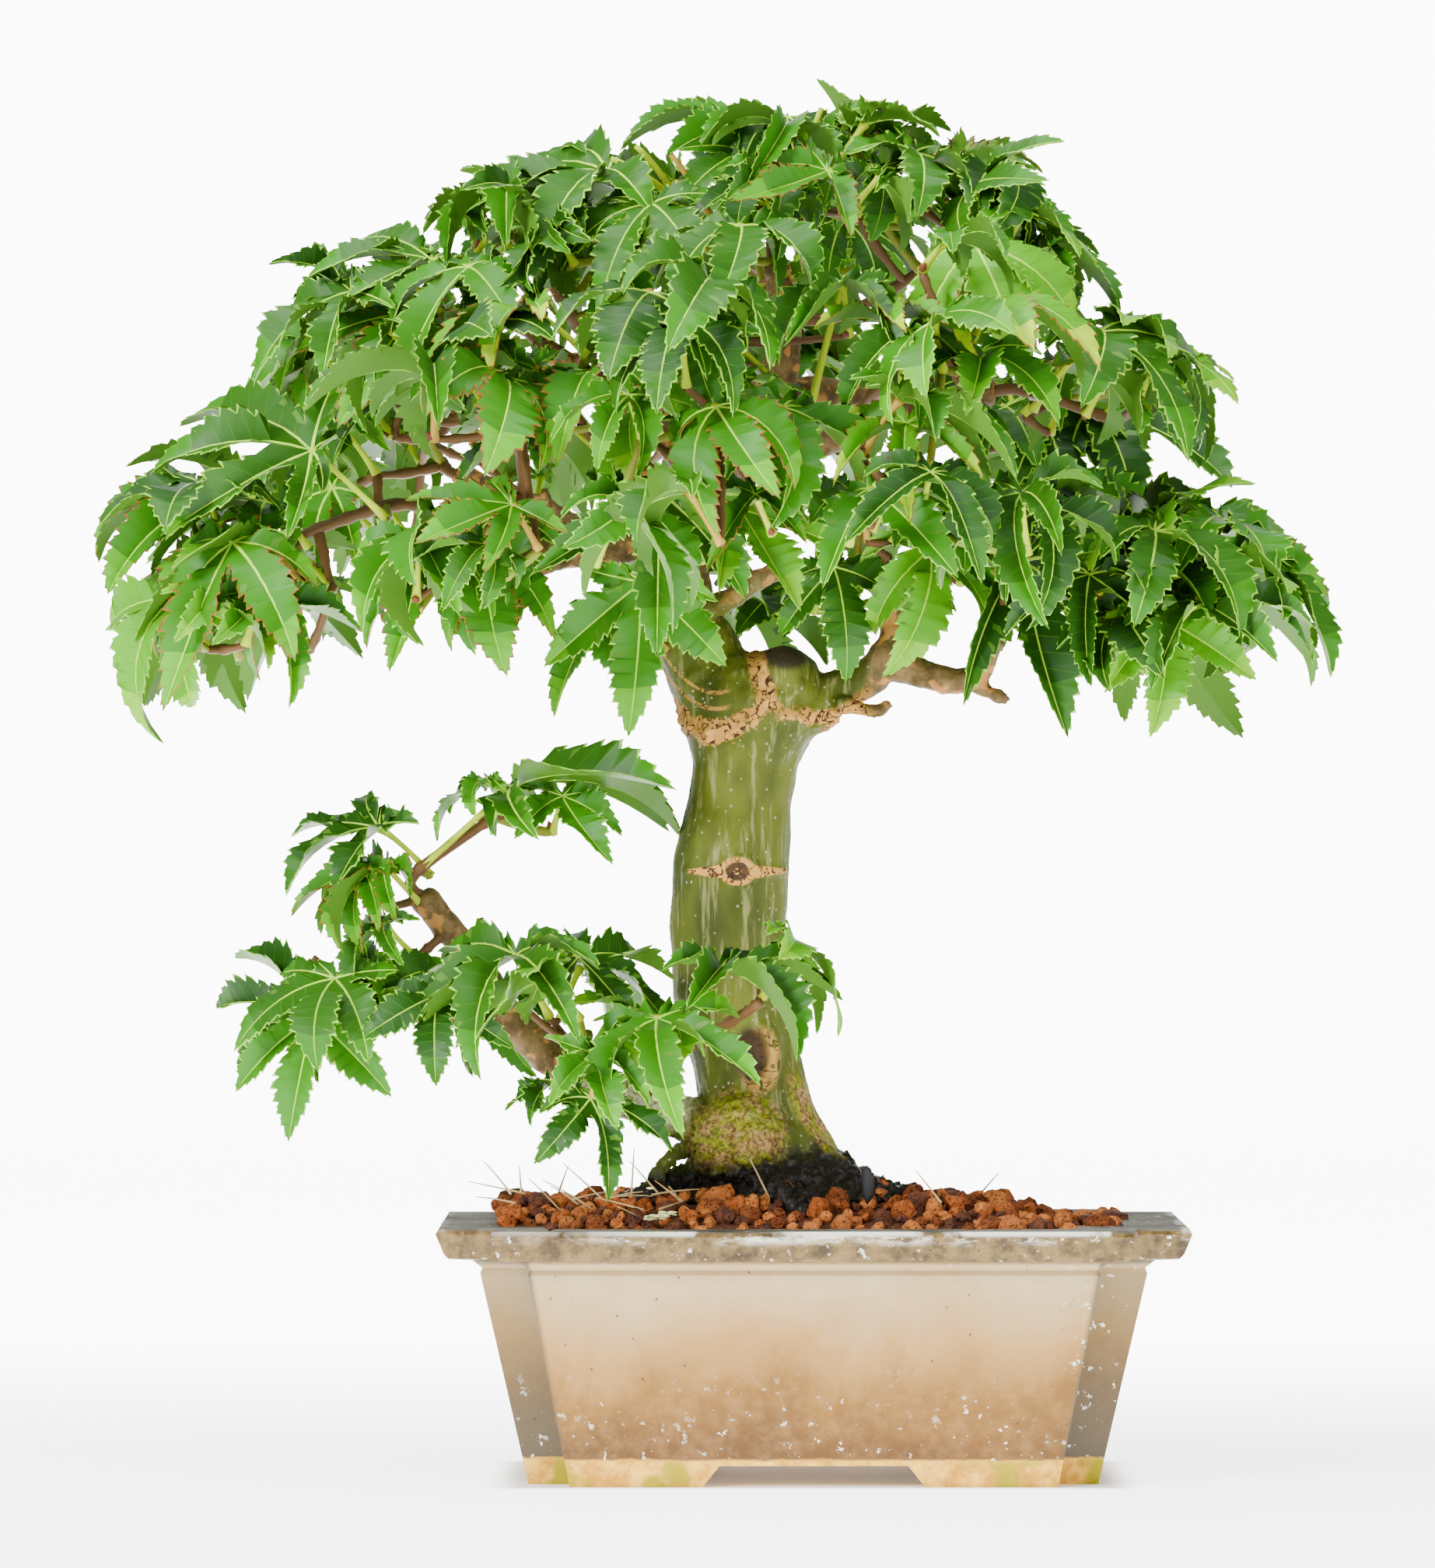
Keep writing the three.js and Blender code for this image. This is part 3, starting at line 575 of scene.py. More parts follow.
# %% [markdown]
# ## The soil
# The tray is filled with fired clay granules of 3 to 8 mm, angular and dusty, heaped a little
# towards the trunk. Particles could strew them, but they would have to be made real afterwards.
# A few stones are broken from spheres by flat cuts, and a seeded rule lays copies on the soil.


# %% A seeded rule for chance
def chance(seed):
    """Numbers from 0 to 1, the same each time for the same seed."""
    state = seed

    def draw():
        nonlocal state
        state = (state * 1664525 + 1013904223) % 2**32
        return state / 2**32

    return draw


def add_mesh(name, points, faces, finishes, finish_of_face=None, smooth=True):
    """A piece from points in millimetres from the middle of the tray's base."""
    mesh = bpy.data.meshes.new(name)
    mesh.from_pydata(np.asarray(points) * MM + POT_MIDDLE, [], faces)
    for finish in finishes:
        mesh.materials.append(finish)
    if finish_of_face is not None:
        mesh.polygons.foreach_set("material_index", np.asarray(finish_of_face, dtype=np.int32))
    mesh.polygons.foreach_set("use_smooth", np.full(len(faces), smooth))
    mesh.update()
    piece = bpy.data.objects.new(name, mesh)
    bpy.context.scene.collection.objects.link(piece)
    return piece


def join_shapes(shapes):
    """Points and faces of many small shapes as one list of each."""
    points, faces, start = [], [], 0
    for shape_points, shape_faces in shapes:
        points.append(shape_points)
        faces += [tuple(start + i for i in face) for face in shape_faces]
        start += len(shape_points)
    return np.concatenate(points), faces


def tube(line, radii, sides):
    """Points and faces of a closed round tube along a line of points."""
    line = np.asarray(line, dtype=float)
    ways = np.gradient(line, axis=0)
    ways /= np.linalg.norm(ways, axis=1)[:, None]
    side = np.cross(ways[0], [0.31, 0.87, 0.39])
    rings = []
    angles = 2 * math.pi * np.arange(sides) / sides
    for centre, way, radius in zip(line, ways, radii):
        side = side - way * (side @ way)
        side /= np.linalg.norm(side)
        across = np.cross(way, side)
        circle = np.cos(angles)[:, None] * side + np.sin(angles)[:, None] * across
        rings.append(centre + radius * circle)
    faces = []
    for ring in range(len(line) - 1):
        for s in range(sides):
            a, b = ring * sides + s, ring * sides + (s + 1) % sides
            faces.append((a, b, b + sides, a + sides))
    last = (len(line) - 1) * sides
    faces.append(tuple(range(sides))[::-1])
    faces.append(tuple(last + s for s in range(sides)))
    return np.concatenate(rings), faces


def plain(shades, roughness):
    """Plain finishes from names and colours."""
    fixed = {"Roughness": roughness, "Specular_IOR_Level": 0.25}
    return [Finish(name, Base_Color=(*c, 1), **fixed).material for name, c in shades.items()]


# %% Stones and where they lie
def broken_stones(count, seed):
    """Small angular stones of radius 1, cut from spheres by flat faces."""
    draw = chance(seed)
    select_only()
    bpy.ops.mesh.primitive_ico_sphere_add(subdivisions=2, radius=1, location=(0, 0, 0))
    ball = bpy.context.active_object
    base = np.array([v.co for v in ball.data.vertices])
    faces = [tuple(p.vertices) for p in ball.data.polygons]
    bpy.data.objects.remove(ball)
    stones = []
    for _ in range(count):
        points = base * [1, 0.75 + 0.3 * draw(), 0.65 + 0.3 * draw()]
        for _ in range(9):
            way = np.array([draw() - 0.5, draw() - 0.5, draw() - 0.5])
            way /= np.linalg.norm(way)
            over = np.maximum(points @ way - (0.5 + 0.28 * draw()), 0)
            points = points - over[:, None] * way * 0.92
        rough = np.array([[1 + 0.17 * (draw() - 0.5)] for _ in points])
        stones.append((points * rough, faces))
    return stones


def turned(points, draw):
    """Points turned to a direction of chance."""
    turn = Matrix.Rotation(6.28 * draw(), 3, "Z") @ Matrix.Rotation(3.14 * draw(), 3, "X")
    return points @ np.array(turn @ Matrix.Rotation(6.28 * draw(), 3, "Z")).T


def surface_of(name):
    """A tree of the faces of one of the part's nodes, to send rays at."""
    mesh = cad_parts[name].data
    points, faces = [v.co for v in mesh.vertices], [tuple(p.vertices) for p in mesh.polygons]
    return BVHTree.FromPolygons(points, faces)


SOIL_TOP = surface_of("soil")
SKY_HEIGHT = 90
GROUND = 52


def ground_height(x, y, otherwise=GROUND):
    """How high the soil is at a place, in millimetres, or another value where there is none."""
    hit = SOIL_TOP.ray_cast(spot(x, y, SKY_HEIGHT), Vector((0, 0, -1)))[0]
    return hit.z / MM if hit else otherwise


TRUNK_FOOT = (-4.5, 0)
STONE_KINDS, STONE_SHAPES = 5, 12
SOIL_SIZE = (119, 75)


def strew_stones(seed, tries, sizes, lift):
    """Stones as (shape, place, radius, kind), each clear of most of the last."""
    draw = chance(seed)
    laid = []
    for _ in range(tries):
        x, y = SOIL_SIZE[0] * (draw() - 0.5), SOIL_SIZE[1] * (draw() - 0.5)
        radius = sizes[0] + (sizes[1] - sizes[0]) * draw() ** 2
        heap = math.exp(-(((x - TRUNK_FOOT[0]) / 30) ** 2) - ((y - TRUNK_FOOT[1]) / 19) ** 2)
        ground = ground_height(x, y, None)
        kind, shape, up = int(draw() * STONE_KINDS), int(draw() * STONE_SHAPES), draw()
        if ground is None or (lift and up > heap):
            continue
        z = ground + 0.25 * radius + lift * heap
        if all(math.dist((x, y, z), other[1]) > 0.86 * (radius + other[2]) for other in laid):
            laid.append((shape, (x, y, z), radius, kind))
    return laid


def stones_piece():
    draw = chance(77)
    shapes = broken_stones(STONE_SHAPES, 5)
    laid = strew_stones(11, 6500, (1.35, 3.8), 0.0) + strew_stones(12, 2600, (1.1, 2.8), 2.6)
    placed, kinds = [], []
    for shape, place, radius, kind in laid:
        points, faces = shapes[shape]
        placed.append((turned(points, draw) * radius + place, faces))
        kinds += [kind] * len(faces)
    points, faces = join_shapes(placed)
    print("stones", len(laid))
    return points, faces, kinds


# %% Fired clay in five shades
def clay_shade(name, dark, light, wet):
    """Porous fired clay: two shades in patches, with pits darkened by painted shade."""
    finish = Finish(name, Roughness=0.92 - 0.4 * wet, Specular_IOR_Level=0.12 + 0.3 * wet)
    patch = finish.noise(1.6, detail=5, rough=0.7)
    shaded_pits = finish.ease(finish.cells(0.75), 0.42, 0.1)
    shade = finish.mix(finish.ease(patch, 0.3, 0.7), dark, light)
    # The pits are painted darker, at a third of the dark shade: painted shade in the pits.
    finish.set(Base_Color=finish.mix(shaded_pits * 0.55, shade, tuple(c * 0.3 for c in dark)))
    finish.bump(patch * 0.7 - shaded_pits * 0.6, 0.55)
    return finish.material


CLAY_SHADES = [
    clay_shade("red_clay", (0.22, 0.048, 0.011), (0.42, 0.12, 0.028), 0),
    clay_shade("orange_clay", (0.36, 0.095, 0.02), (0.56, 0.19, 0.05), 0),
    clay_shade("brown_clay", (0.1, 0.025, 0.008), (0.24, 0.068, 0.02), 0),
    clay_shade("rust_clay", (0.28, 0.08, 0.018), (0.48, 0.16, 0.045), 0),
    clay_shade("wet_clay", (0.04, 0.011, 0.005), (0.13, 0.036, 0.012), 0.5),
]


def lay_soil():
    points, faces, kinds = stones_piece()
    stones = add_mesh("clay_granules", points, faces, CLAY_SHADES, kinds, smooth=False)
    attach(stones, "root")
    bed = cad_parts["soil"]
    bed.data.materials.clear()
    bed.data.materials.append(clay_shade("fine_soil", (0.06, 0.02, 0.012), (0.14, 0.05, 0.028), 0))


lay_soil()


# %% Roots, needles and lichen on the soil
ROOT_FIBRES, NEEDLES, FRONT_NEEDLES = 130, 26, 18
# A corner in millimetres and how far the needles lie spread from it.
FRONT_LEFT = ((-58, -34), (34, 22))
WHOLE_TRAY = ((-50, -35), (100, 60))


def root_fibres(draw):
    """Thin dark roots that run down the foot of the trunk and out over the soil."""
    shapes = []
    for _ in range(ROOT_FIBRES):
        turn = -math.pi / 2 + 4.4 * (draw() - 0.5)
        way = np.array([math.cos(turn), math.sin(turn)])
        reach, top, wander = 3 + 7 * draw(), 54.5 + 6.5 * draw(), 1.6 * (draw() - 0.5)
        foot = np.array([TRUNK_FOOT[0] + 11 * way[0], TRUNK_FOOT[1] + 9.5 * way[1]])
        aside = np.array([-way[1], way[0]])
        line = []
        for share in np.linspace(0, 1, 7):
            x, y = foot + way * reach * share + aside * wander * math.sin(3 * share)
            low = ground_height(x, y) + 1.9
            line.append((x, y, low + (top - low) * (1 - share) ** 2.2))
        width = 0.4 + 0.35 * draw()
        shapes.append(tube(line, np.linspace(width, 0.3 * width, 7), 5))
    return shapes


def dry_needles(draw):
    """Pale dry stems that stand out of the soil at its front left, and a few elsewhere."""
    shapes = []
    for i in range(NEEDLES):
        corner, spread = FRONT_LEFT if i < FRONT_NEEDLES else WHOLE_TRAY
        x, y = (start + width * draw() for start, width in zip(corner, spread))
        turn, rise, length = 6.28 * draw(), 0.15 + 1.1 * draw() ** 2, 5 + 8 * draw()
        level = math.cos(rise)
        way = np.array([math.cos(turn) * level, math.sin(turn) * level, math.sin(rise)])
        shares = np.linspace(0, 1, 6)[:, None]
        line = np.array([x, y, ground_height(x, y) + 2.4]) + way * length * shares
        line[:, 2] -= (1.2 * shares**2)[:, 0] * draw()
        shapes.append(tube(line, np.linspace(0.24, 0.1, 6), 5))
    return shapes


def lichen_clump(draw):
    """Small pale lobes heaped on the soil beside the front rim."""
    shapes = []
    for points, faces in broken_stones(26, 9):
        x, y = -28.6 + 5.6 * (draw() - 0.5), -35 + 3 * (draw() - 0.5)
        place = (x, y, ground_height(x, y) + 2.6 + 1.1 * draw())
        shapes.append((points * [1.1, 0.9, 0.35] * (0.5 + 0.6 * draw()) + place, faces))
    return shapes


def lay_litter():
    draw = chance(404)
    stone, stone_faces = broken_stones(1, 3)[0]
    coal = (stone @ np.diag([1.5, 1.2, 4.6]) + (10, -23, 55.5), stone_faces)
    kinds = [root_fibres(draw), dry_needles(draw), lichen_clump(draw), [coal]]
    shapes = [shape for kind in kinds for shape in kind]
    finish_of_face = [i for i, kind in enumerate(kinds) for shape in kind for _ in shape[1]]
    points, faces = join_shapes(shapes)
    litter = add_mesh("roots_and_litter", points, faces, plain(LITTER_SHADES, 0.6), finish_of_face)
    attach(litter, "root")
    print("litter", len(faces), "faces")


LITTER_SHADES = {
    "wet_root": (0.016, 0.011, 0.008),
    "dry_stem": (0.55, 0.38, 0.17),
    "pale_lichen": (0.72, 0.74, 0.34),
    "charcoal": (0.02, 0.02, 0.022),
}
lay_litter()

# %% [markdown]
# ## Trunk and limbs
# The bark of a young maple is smooth and olive green, with pale streaks that run upwards, and
# with corky tan scars where branches were cut and where each year's shoot began. The trunk could
# be sculpted by hand. Here the solid trunk, limbs swept along their courses, burls, callus rings
# and roots are melted into one skin, and chance noise then moves its points in and out.

# %% The limbs' courses
# Each limb: its course in millimetres from the middle of the tray, and its radius at foot and tip.
LIMBS = {
    "leader": ([(-16, 0, 146), (-21.5, 0, 155), (-25.6, 1, 166), (-25.6, 2, 177), (-20, 3, 188),
                (-12, 4, 198), (-6.5, 4, 208), (-5, 4, 218), (-7, 3, 229)], 8.2, 2),
    "right_limb": ([(-13, 4, 197), (-4, 0, 194.5), (6, -4, 197), (17, -8, 202.5),
                    (34, -10, 204)], 3.9, 2.5),
    "left_limb": ([(-25.6, 1, 177), (-36, -2, 175.5), (-46, -4, 174.5), (-57, -6, 172.5),
                   (-68.5, -8, 179)], 4.2, 2.4),
    "upper_left_limb": ([(-20, 3, 188), (-30, 4, 198), (-41, 4, 206), (-52, 3, 214)], 3.4, 1.9),
    "old_stub": ([(-24, 1, 182), (-32, -6, 187), (-37, -10, 188.5)], 4, 3.4),
    "low_right_limb": ([(-3, -1, 142.5), (4.5, -2, 147.5), (12, -4, 151.6), (15.6, -4.5, 156),
                        (14, -4.5, 167)], 4.4, 2.1),
    "low_right_fork": ([(13, -4.5, 153), (21.8, -7, 150.8), (29.6, -9, 150),
                        (34.5, -10, 158)], 2.8, 1.8),
    "back_limb": ([(-25.8, 2, 180), (-22, 20, 184), (-18, 38, 192), (-17, 54, 199)], 4, 2.1),
    "back_left_limb": ([(-25.8, 1.5, 172), (-40, 18, 176), (-55, 34, 184), (-68, 44, 190)], 3.8, 2),
    "back_right_limb": ([(-8.5, 4, 204), (6, 18, 204), (20, 30, 203), (35, 40, 200)], 3.4, 1.9),
    "front_limb": ([(-18.5, 3, 190), (-20, -12, 197), (-23, -26, 203), (-26, -38, 206)], 3.1, 1.8),
    "low_limb": ([(-17, -3, 64.5), (-39.5, -5, 73.5), (-54.2, -6, 83), (-63.7, -7, 97),
                  (-73.4, -8, 109)], 4.2, 1.9),
    "low_side_limb": ([(-55, -6, 84.6), (-63, -8, 86.6), (-72, -9, 86.6),
                       (-79, -9.5, 88)], 2.1, 1.3),
}
# Spurs, roots and stubs, given the same way.
SPURS = {
    "curled_spur": ([(3, -4, 146), (7, -7, 144.6), (12, -8.5, 144), (14.6, -8.5, 145.6)], 1.5, 0.9),
    "fork_spur": ([(29, -9, 150), (33, -10, 147.8), (36.5, -11, 146)], 1.2, 0.8),
    "cut_spur": ([(-22, -3, 163), (-17, -8, 164.5), (-11, -10, 168), (-5.6, -11, 171)], 2.1, 1.5),
    "left_spur": ([(-46, -4, 174.5), (-49.6, -6, 180), (-50.4, -7, 186)], 1.3, 0.8),
    "low_spur": ([(-40, -5, 74), (-43, -8, 79), (-42, -10, 84)], 1.2, 0.8),
    "ridge_root": ([(-6, -4, 76), (-3, -6, 66), (2.5, -7, 59.5), (10, -7, 55), (18, -6.5, 52),
                    (27, -6, 49)], 2.4, 1.4),
    "arched_root": ([(-21, -4, 62), (-26, -8, 61), (-29, -9, 57), (-28, -9, 49)], 1.3, 0.9),
    "front_root": ([(-11, -9, 58), (-9, -15, 55), (-4, -21, 52), (-1, -26, 49)], 2.6, 1.3),
    "left_root": ([(-17, -3, 60), (-25, -4, 55.5), (-33, -7, 52.5), (-40, -9, 48)], 2.8, 1.3),
    "back_root": ([(-8, 6, 60), (-2, 15, 55), (4, 22, 52), (8, 28, 48)], 2.8, 1.3),
}


class Course:
    """A smooth curve through a few points, measured by its own length."""

    STEPS = 40  # places worked out in each span

    def __init__(self, points):
        self.points = np.array(points, dtype=float)
        steps = (len(self.points) - 1) * self.STEPS
        self.line = np.array([self.through(i / self.STEPS) for i in range(steps + 1)])
        walked = np.linalg.norm(np.diff(self.line, axis=0), axis=1)
        self.walked = np.concatenate([[0], np.cumsum(walked)])
        self.length = self.walked[-1]

    def through(self, where):
        """The centripetal curve at a place counted in spans."""
        p = self.points
        i = min(int(where), len(p) - 2)
        before = p[i - 1] if i > 0 else 2 * p[0] - p[1]
        after = p[i + 2] if i + 2 < len(p) else 2 * p[-1] - p[-2]
        a, b = p[i], p[i + 1]
        da, db, dc = (math.sqrt(np.linalg.norm(v)) for v in (a - before, b - a, after - b))
        start = ((a - before) / da - (b - before) / (da + db) + (b - a) / db) * db
        end = ((b - a) / db - (after - a) / (db + dc) + (after - b) / dc) * db
        t = where - i
        square, cube = 3 * (b - a) - 2 * start - end, 2 * (a - b) + start + end
        return a + start * t + square * t**2 + cube * t**3

    def at(self, share):
        """Points at shares of the way along."""
        walked = np.asarray(share) * self.length
        found = [np.interp(walked, self.walked, self.line[:, i]) for i in range(3)]
        return np.stack(found, axis=-1)

    def way(self, share):
        """The direction of the curve there."""
        ahead = self.at(min(share + 0.001, 1)) - self.at(max(share - 0.001, 0))
        return ahead / np.linalg.norm(ahead)


COURSES = {name: Course(points) for name, (points, _, _) in LIMBS.items()}
print("limbs", {name: round(float(course.length)) for name, course in COURSES.items()})


# %% Limbs with year rings
# Blender draws the offset of noise_vector from the clock unless it is set.
noise.seed_set(1)


def knotty_limb(points, foot, tip, seed):
    """A limb whose thickness swells at the rings that mark each shoot's beginning."""
    draw = chance(seed)
    course = Course(points)
    steps = max(6, int(course.length / 0.9))
    shares = np.linspace(0, 1, steps + 1)
    walked = shares * course.length
    radii = foot + (tip - foot) * shares
    ring = 3 + 3 * draw()
    while ring < course.length:
        radii = radii + (0.28 + 0.25 * draw()) * np.exp(-(((walked - ring) / 0.75) ** 2))
        ring += (2.4 if draw() < 0.45 else 6.5) + 3 * draw()
    line = course.at(shares)
    wobble = [noise.noise_vector(Vector((w * 0.16, seed * 7.3, 0))) for w in walked]
    ends = np.minimum(1, np.minimum(walked, course.length - walked) / 6)
    line = line + np.array(wobble) * 0.7 * ends[:, None]
    return tube(line, radii, 12)


def wooden_shapes():
    """The limbs, spurs and roots with year rings, as one mesh, and a copy of the trunk's solid."""
    specs = [*LIMBS.values(), *SPURS.values()]
    points, faces = join_shapes([knotty_limb(*spec, seed) for seed, spec in enumerate(specs)])
    limbs = add_mesh("wood", points, faces, [])
    select_only(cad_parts["trunk"])
    bpy.ops.object.duplicate()
    trunk = bpy.context.active_object
    trunk.name = "trunk_copy"
    return [limbs, trunk]


TRUNK_SKIN = surface_of("trunk")


def front_of_trunk(x, z):
    """How far forward the trunk comes at a place, in millimetres from the tray's middle."""
    hit = TRUNK_SKIN.ray_cast(spot(x, -80, z), Vector((0, 1, 0)))[0]
    return (hit.y - POT_MIDDLE[1]) / MM


EYE_SCAR = (-14.1, 113.9)
HOLLOW = (-11.3, 79.6)
BURL = (-14, 63.4)
KNOB = (-5.5, 151.4)
HOLLOW_FRONT = front_of_trunk(*HOLLOW)


def add_ring(place, sunk, major, minor, scale):
    """A callus ring on the front of the trunk."""
    y = front_of_trunk(*place) + sunk
    bpy.ops.mesh.primitive_torus_add(
        major_radius=major * MM, minor_radius=minor * MM, major_segments=32, minor_segments=10,
        location=spot(place[0], y, place[1]), rotation=(math.pi / 2, 0, 0),
    )
    ring = bpy.context.active_object
    bpy.ops.object.mode_set(mode="EDIT")
    bpy.ops.transform.resize(value=(scale[0], 1, scale[1]), center_override=tuple(ring.location))
    bpy.ops.object.mode_set(mode="OBJECT")
    return ring


def add_lump(place, sunk, radii):
    middle = spot(place[0], front_of_trunk(*place) + sunk, place[1])
    bpy.ops.mesh.primitive_ico_sphere_add(subdivisions=3, radius=MM, location=middle)
    lump = bpy.context.active_object
    lump.scale = radii
    return lump


def callus_and_burls():
    select_only()
    return [
        add_ring(EYE_SCAR, 0.1, 2.5, 0.6, (1.2, 0.95)),
        add_ring(EYE_SCAR, 0.2, 1.2, 0.45, (1.1, 1)),
        add_ring((HOLLOW[0] + 0.3, HOLLOW[1]), 0.2, 3.5, 0.85, (0.95, 1.42)),
        add_ring((HOLLOW[0] + 0.6, HOLLOW[1] - 0.4), 0.9, 4.6, 0.8, (0.9, 1.35)),
        add_lump(BURL, 2.4, (7.6, 6.2, 8.4)),
        add_lump((BURL[0] - 2.5, BURL[1] - 3.5), 2.5, (5.2, 4.6, 4.4)),
        add_lump(KNOB, 1.2, (4.9, 4.6, 4.7)),
        add_ring((KNOB[0] - 0.4, KNOB[1] - 2.6), -1.2, 3.4, 0.8, (1.1, 0.55)),
        add_ring((-19.4, 149.2), 1.2, 3.8, 0.6, (1.2, 0.6)),
    ]


def melt(pieces, voxel):
    """Melts overlapping closed pieces into one skin."""
    select_only()
    for piece in pieces:
        piece.select_set(True)
    bpy.context.view_layer.objects.active = pieces[0]
    bpy.ops.object.join()
    bpy.ops.object.transform_apply(location=True, rotation=True, scale=True)
    skin = bpy.context.active_object
    bpy.ops.object.mode_set(mode="EDIT")
    bpy.ops.mesh.select_all(action="SELECT")
    bpy.ops.mesh.remove_doubles(threshold=0.00001)
    bpy.ops.object.mode_set(mode="OBJECT")
    remesh = skin.modifiers.new("melt", "REMESH")
    remesh.mode = "VOXEL"
    remesh.voxel_size = voxel * MM
    bpy.ops.object.modifier_apply(modifier="melt")
    smooth = skin.modifiers.new("smooth", "SMOOTH")
    smooth.iterations = 4
    bpy.ops.object.modifier_apply(modifier="smooth")
    return skin


# %% Bark relief
def swell(point, centre, reach):
    """1 at a centre, falling off smoothly over a reach in each direction."""
    return math.exp(-sum(((p - c) / r) ** 2 for p, c, r in zip(point, centre, reach)))


def fork_band(x, z):
    """How corky the bark is where the trunk forks: a slanting band and an upright one."""
    slant = math.exp(-(((z - 139.8 - 0.072 * (x + 18) ** 2) / 2.2) ** 2)) if -30 < x < -8 else 0.0
    upright = math.exp(-(((x + 9.6 + 0.25 * (z - 150)) / 2.1) ** 2) - ((z - 151) / 6) ** 2)
    level = math.exp(-(((z - 142.6 + 0.1 * x) / 1.3) ** 2)) if -10 < x < 5 else 0.0
    return max(slant, upright, level)


def bark_height(point):
    """How far the bark stands out, in millimetres, at a point given in millimetres."""
    x, y, z = point
    streak = noise.noise(Vector((x * 0.9, y * 0.9, z * 0.14))) * 0.16
    grain = noise.noise(Vector((x * 1.3, y * 1.3, z * 1.3))) * 0.09
    lumpy = noise.noise(Vector((x * 0.28, y * 0.28, z * 0.16))) * 0.3
    cork = fork_band(x, z) if y < 2 else 0.0
    rough = noise.noise(Vector((x * 0.75, y * 0.75, z * 0.75)))
    height = streak + grain + lumpy + cork * (0.6 + 1.3 * abs(rough) + 0.5 * rough)
    height += 0.6 * math.exp(-(((z - 112) / 17) ** 2))
    burl = swell(point, (BURL[0], -10, BURL[1] - 1), (8, 9, 9))
    height += burl * (2.4 * rough + 1.2 * abs(noise.noise(Vector((x * 1.4, y * 1.4, z * 1.4)))))
    wet = max(0.0, min(1.0, (62 - z) / 6))
    fibre = noise.noise(Vector((x * 1.1, y * 1.1, z * 0.35)))
    height += wet * (1.6 * fibre + 0.7 * rough) + 0.3
    hollow = swell(point, (HOLLOW[0], HOLLOW_FRONT, HOLLOW[1]), (2.4, 3, 3.9))
    height -= 2.6 * hollow
    if y < -3 and abs(x - EYE_SCAR[0]) < 9.5:
        height += 0.5 * math.exp(-(((z - EYE_SCAR[1]) / 0.7) ** 2))
    return height


def carve_bark(skin):
    mesh = skin.data
    normals = np.array([v.normal for v in mesh.vertices])
    points = (np.array([v.co for v in mesh.vertices]) - POT_MIDDLE) / MM
    heights = np.array([bark_height(tuple(p)) for p in points])
    moved = (points + normals * heights[:, None]) * MM + POT_MIDDLE
    mesh.vertices.foreach_set("co", moved.ravel())
    mesh.update()


wood = melt(wooden_shapes() + callus_and_burls(), 0.7)
carve_bark(wood)
select_only(wood)
bpy.ops.object.shade_smooth()
print("wood", len(wood.data.polygons), "faces")

# %% [markdown]
# ### Bark
# Olive green with pale lenticels on the trunk, grey brown on the limbs, tan cork on the scars,
# nearly black and wet at the foot, and moss on the burl and along the root beside it.


# %% The bark
# Pairs go from the darker shade to the paler one.
BARK = {
    "olive": ((0.034, 0.048, 0.002), (0.108, 0.13, 0.007)),
    "streak": (0.3, 0.3, 0.1),
    "lenticel": (0.42, 0.42, 0.26),
    "pale_limb": (0.46, 0.44, 0.28),
    "brown": ((0.075, 0.038, 0.012), (0.22, 0.13, 0.05)),
    "ring": (0.55, 0.24, 0.05),
    "cork": ((0.26, 0.09, 0.005), (0.86, 0.47, 0.11)),
    "crack": (0.035, 0.011, 0.003),
    # Near-black painted shade for the hollow, also put on the eye's pupil, the knob's cap and the
    # stub's end.
    "hollow": (0.022, 0.013, 0.009),
    "bare": ((0.12, 0.05, 0.012), (0.6, 0.33, 0.12)),
    "moss": ((0.05, 0.055, 0.003), (0.42, 0.42, 0.01)),
    "wet": ((0.009, 0.007, 0.006), (0.05, 0.04, 0.03)),
}


def cork_zone(finish, x, y, z, blotch):
    """Where the bark is corky round the fork: a sagging band, an upright one and wrinkles."""
    ease, shift = finish.ease, blotch - 0.5
    dip = z - (x + 18) * (x + 18) * 0.072 - 139.8
    slant = ease(abs(dip + shift * 7), 2.6, 1.8) * ease(x, -7, -9)
    upright = ease(abs(x + 9.6 + (z - 150) * 0.25 + shift * 3), 2.6, 1.6) * ease(abs(z - 151), 8, 6)
    level = ease(abs(z + x * 0.1 - 143 + shift * 5), 1.6, 0.9) * ease(x, -8, -5) * ease(x, 8, 5)
    under = ease(z - x * 0.75, 142, 139.5) * ease(x, 1, 4) * ease(x, 12, 9)
    front = ease(y, 3, 0)
    cork = slant.top(upright).top(level).top(under) * front * ease(z, 132, 136)
    wrinkle = ease(abs(dip - 4.6), 0.55, 0.2).top(ease(abs(dip - 7.6), 0.5, 0.2))
    cork = cork.top(wrinkle * front * ease(x, -15, -17) * ease(x, -32, -28) * 0.7)
    return cork * ease(blotch, 0.26, 0.38)


def eye_zones(finish, x, y, z, blotch):
    """The scar like an eye, with its drawn-out ends, and its dark pupil."""
    place = (EYE_SCAR[0], -11, EYE_SCAR[1])
    past_eye = abs(x - EYE_SCAR[0])
    taper = abs(z - EYE_SCAR[1] + (blotch - 0.5) * 0.8) + past_eye * 0.16
    ends = finish.ease(taper, 1.95, 1.7) * finish.ease(y, -2, -4) * finish.ease(past_eye, 9.8, 9)
    pupil = finish.near(place, (2.2, 4, 1.8), 0.25) * (1 - finish.near(place, (0.7, 4, 0.6), 0.3))
    return finish.near(place, (3.5, 5, 2.7), 0.25).top(ends), pupil


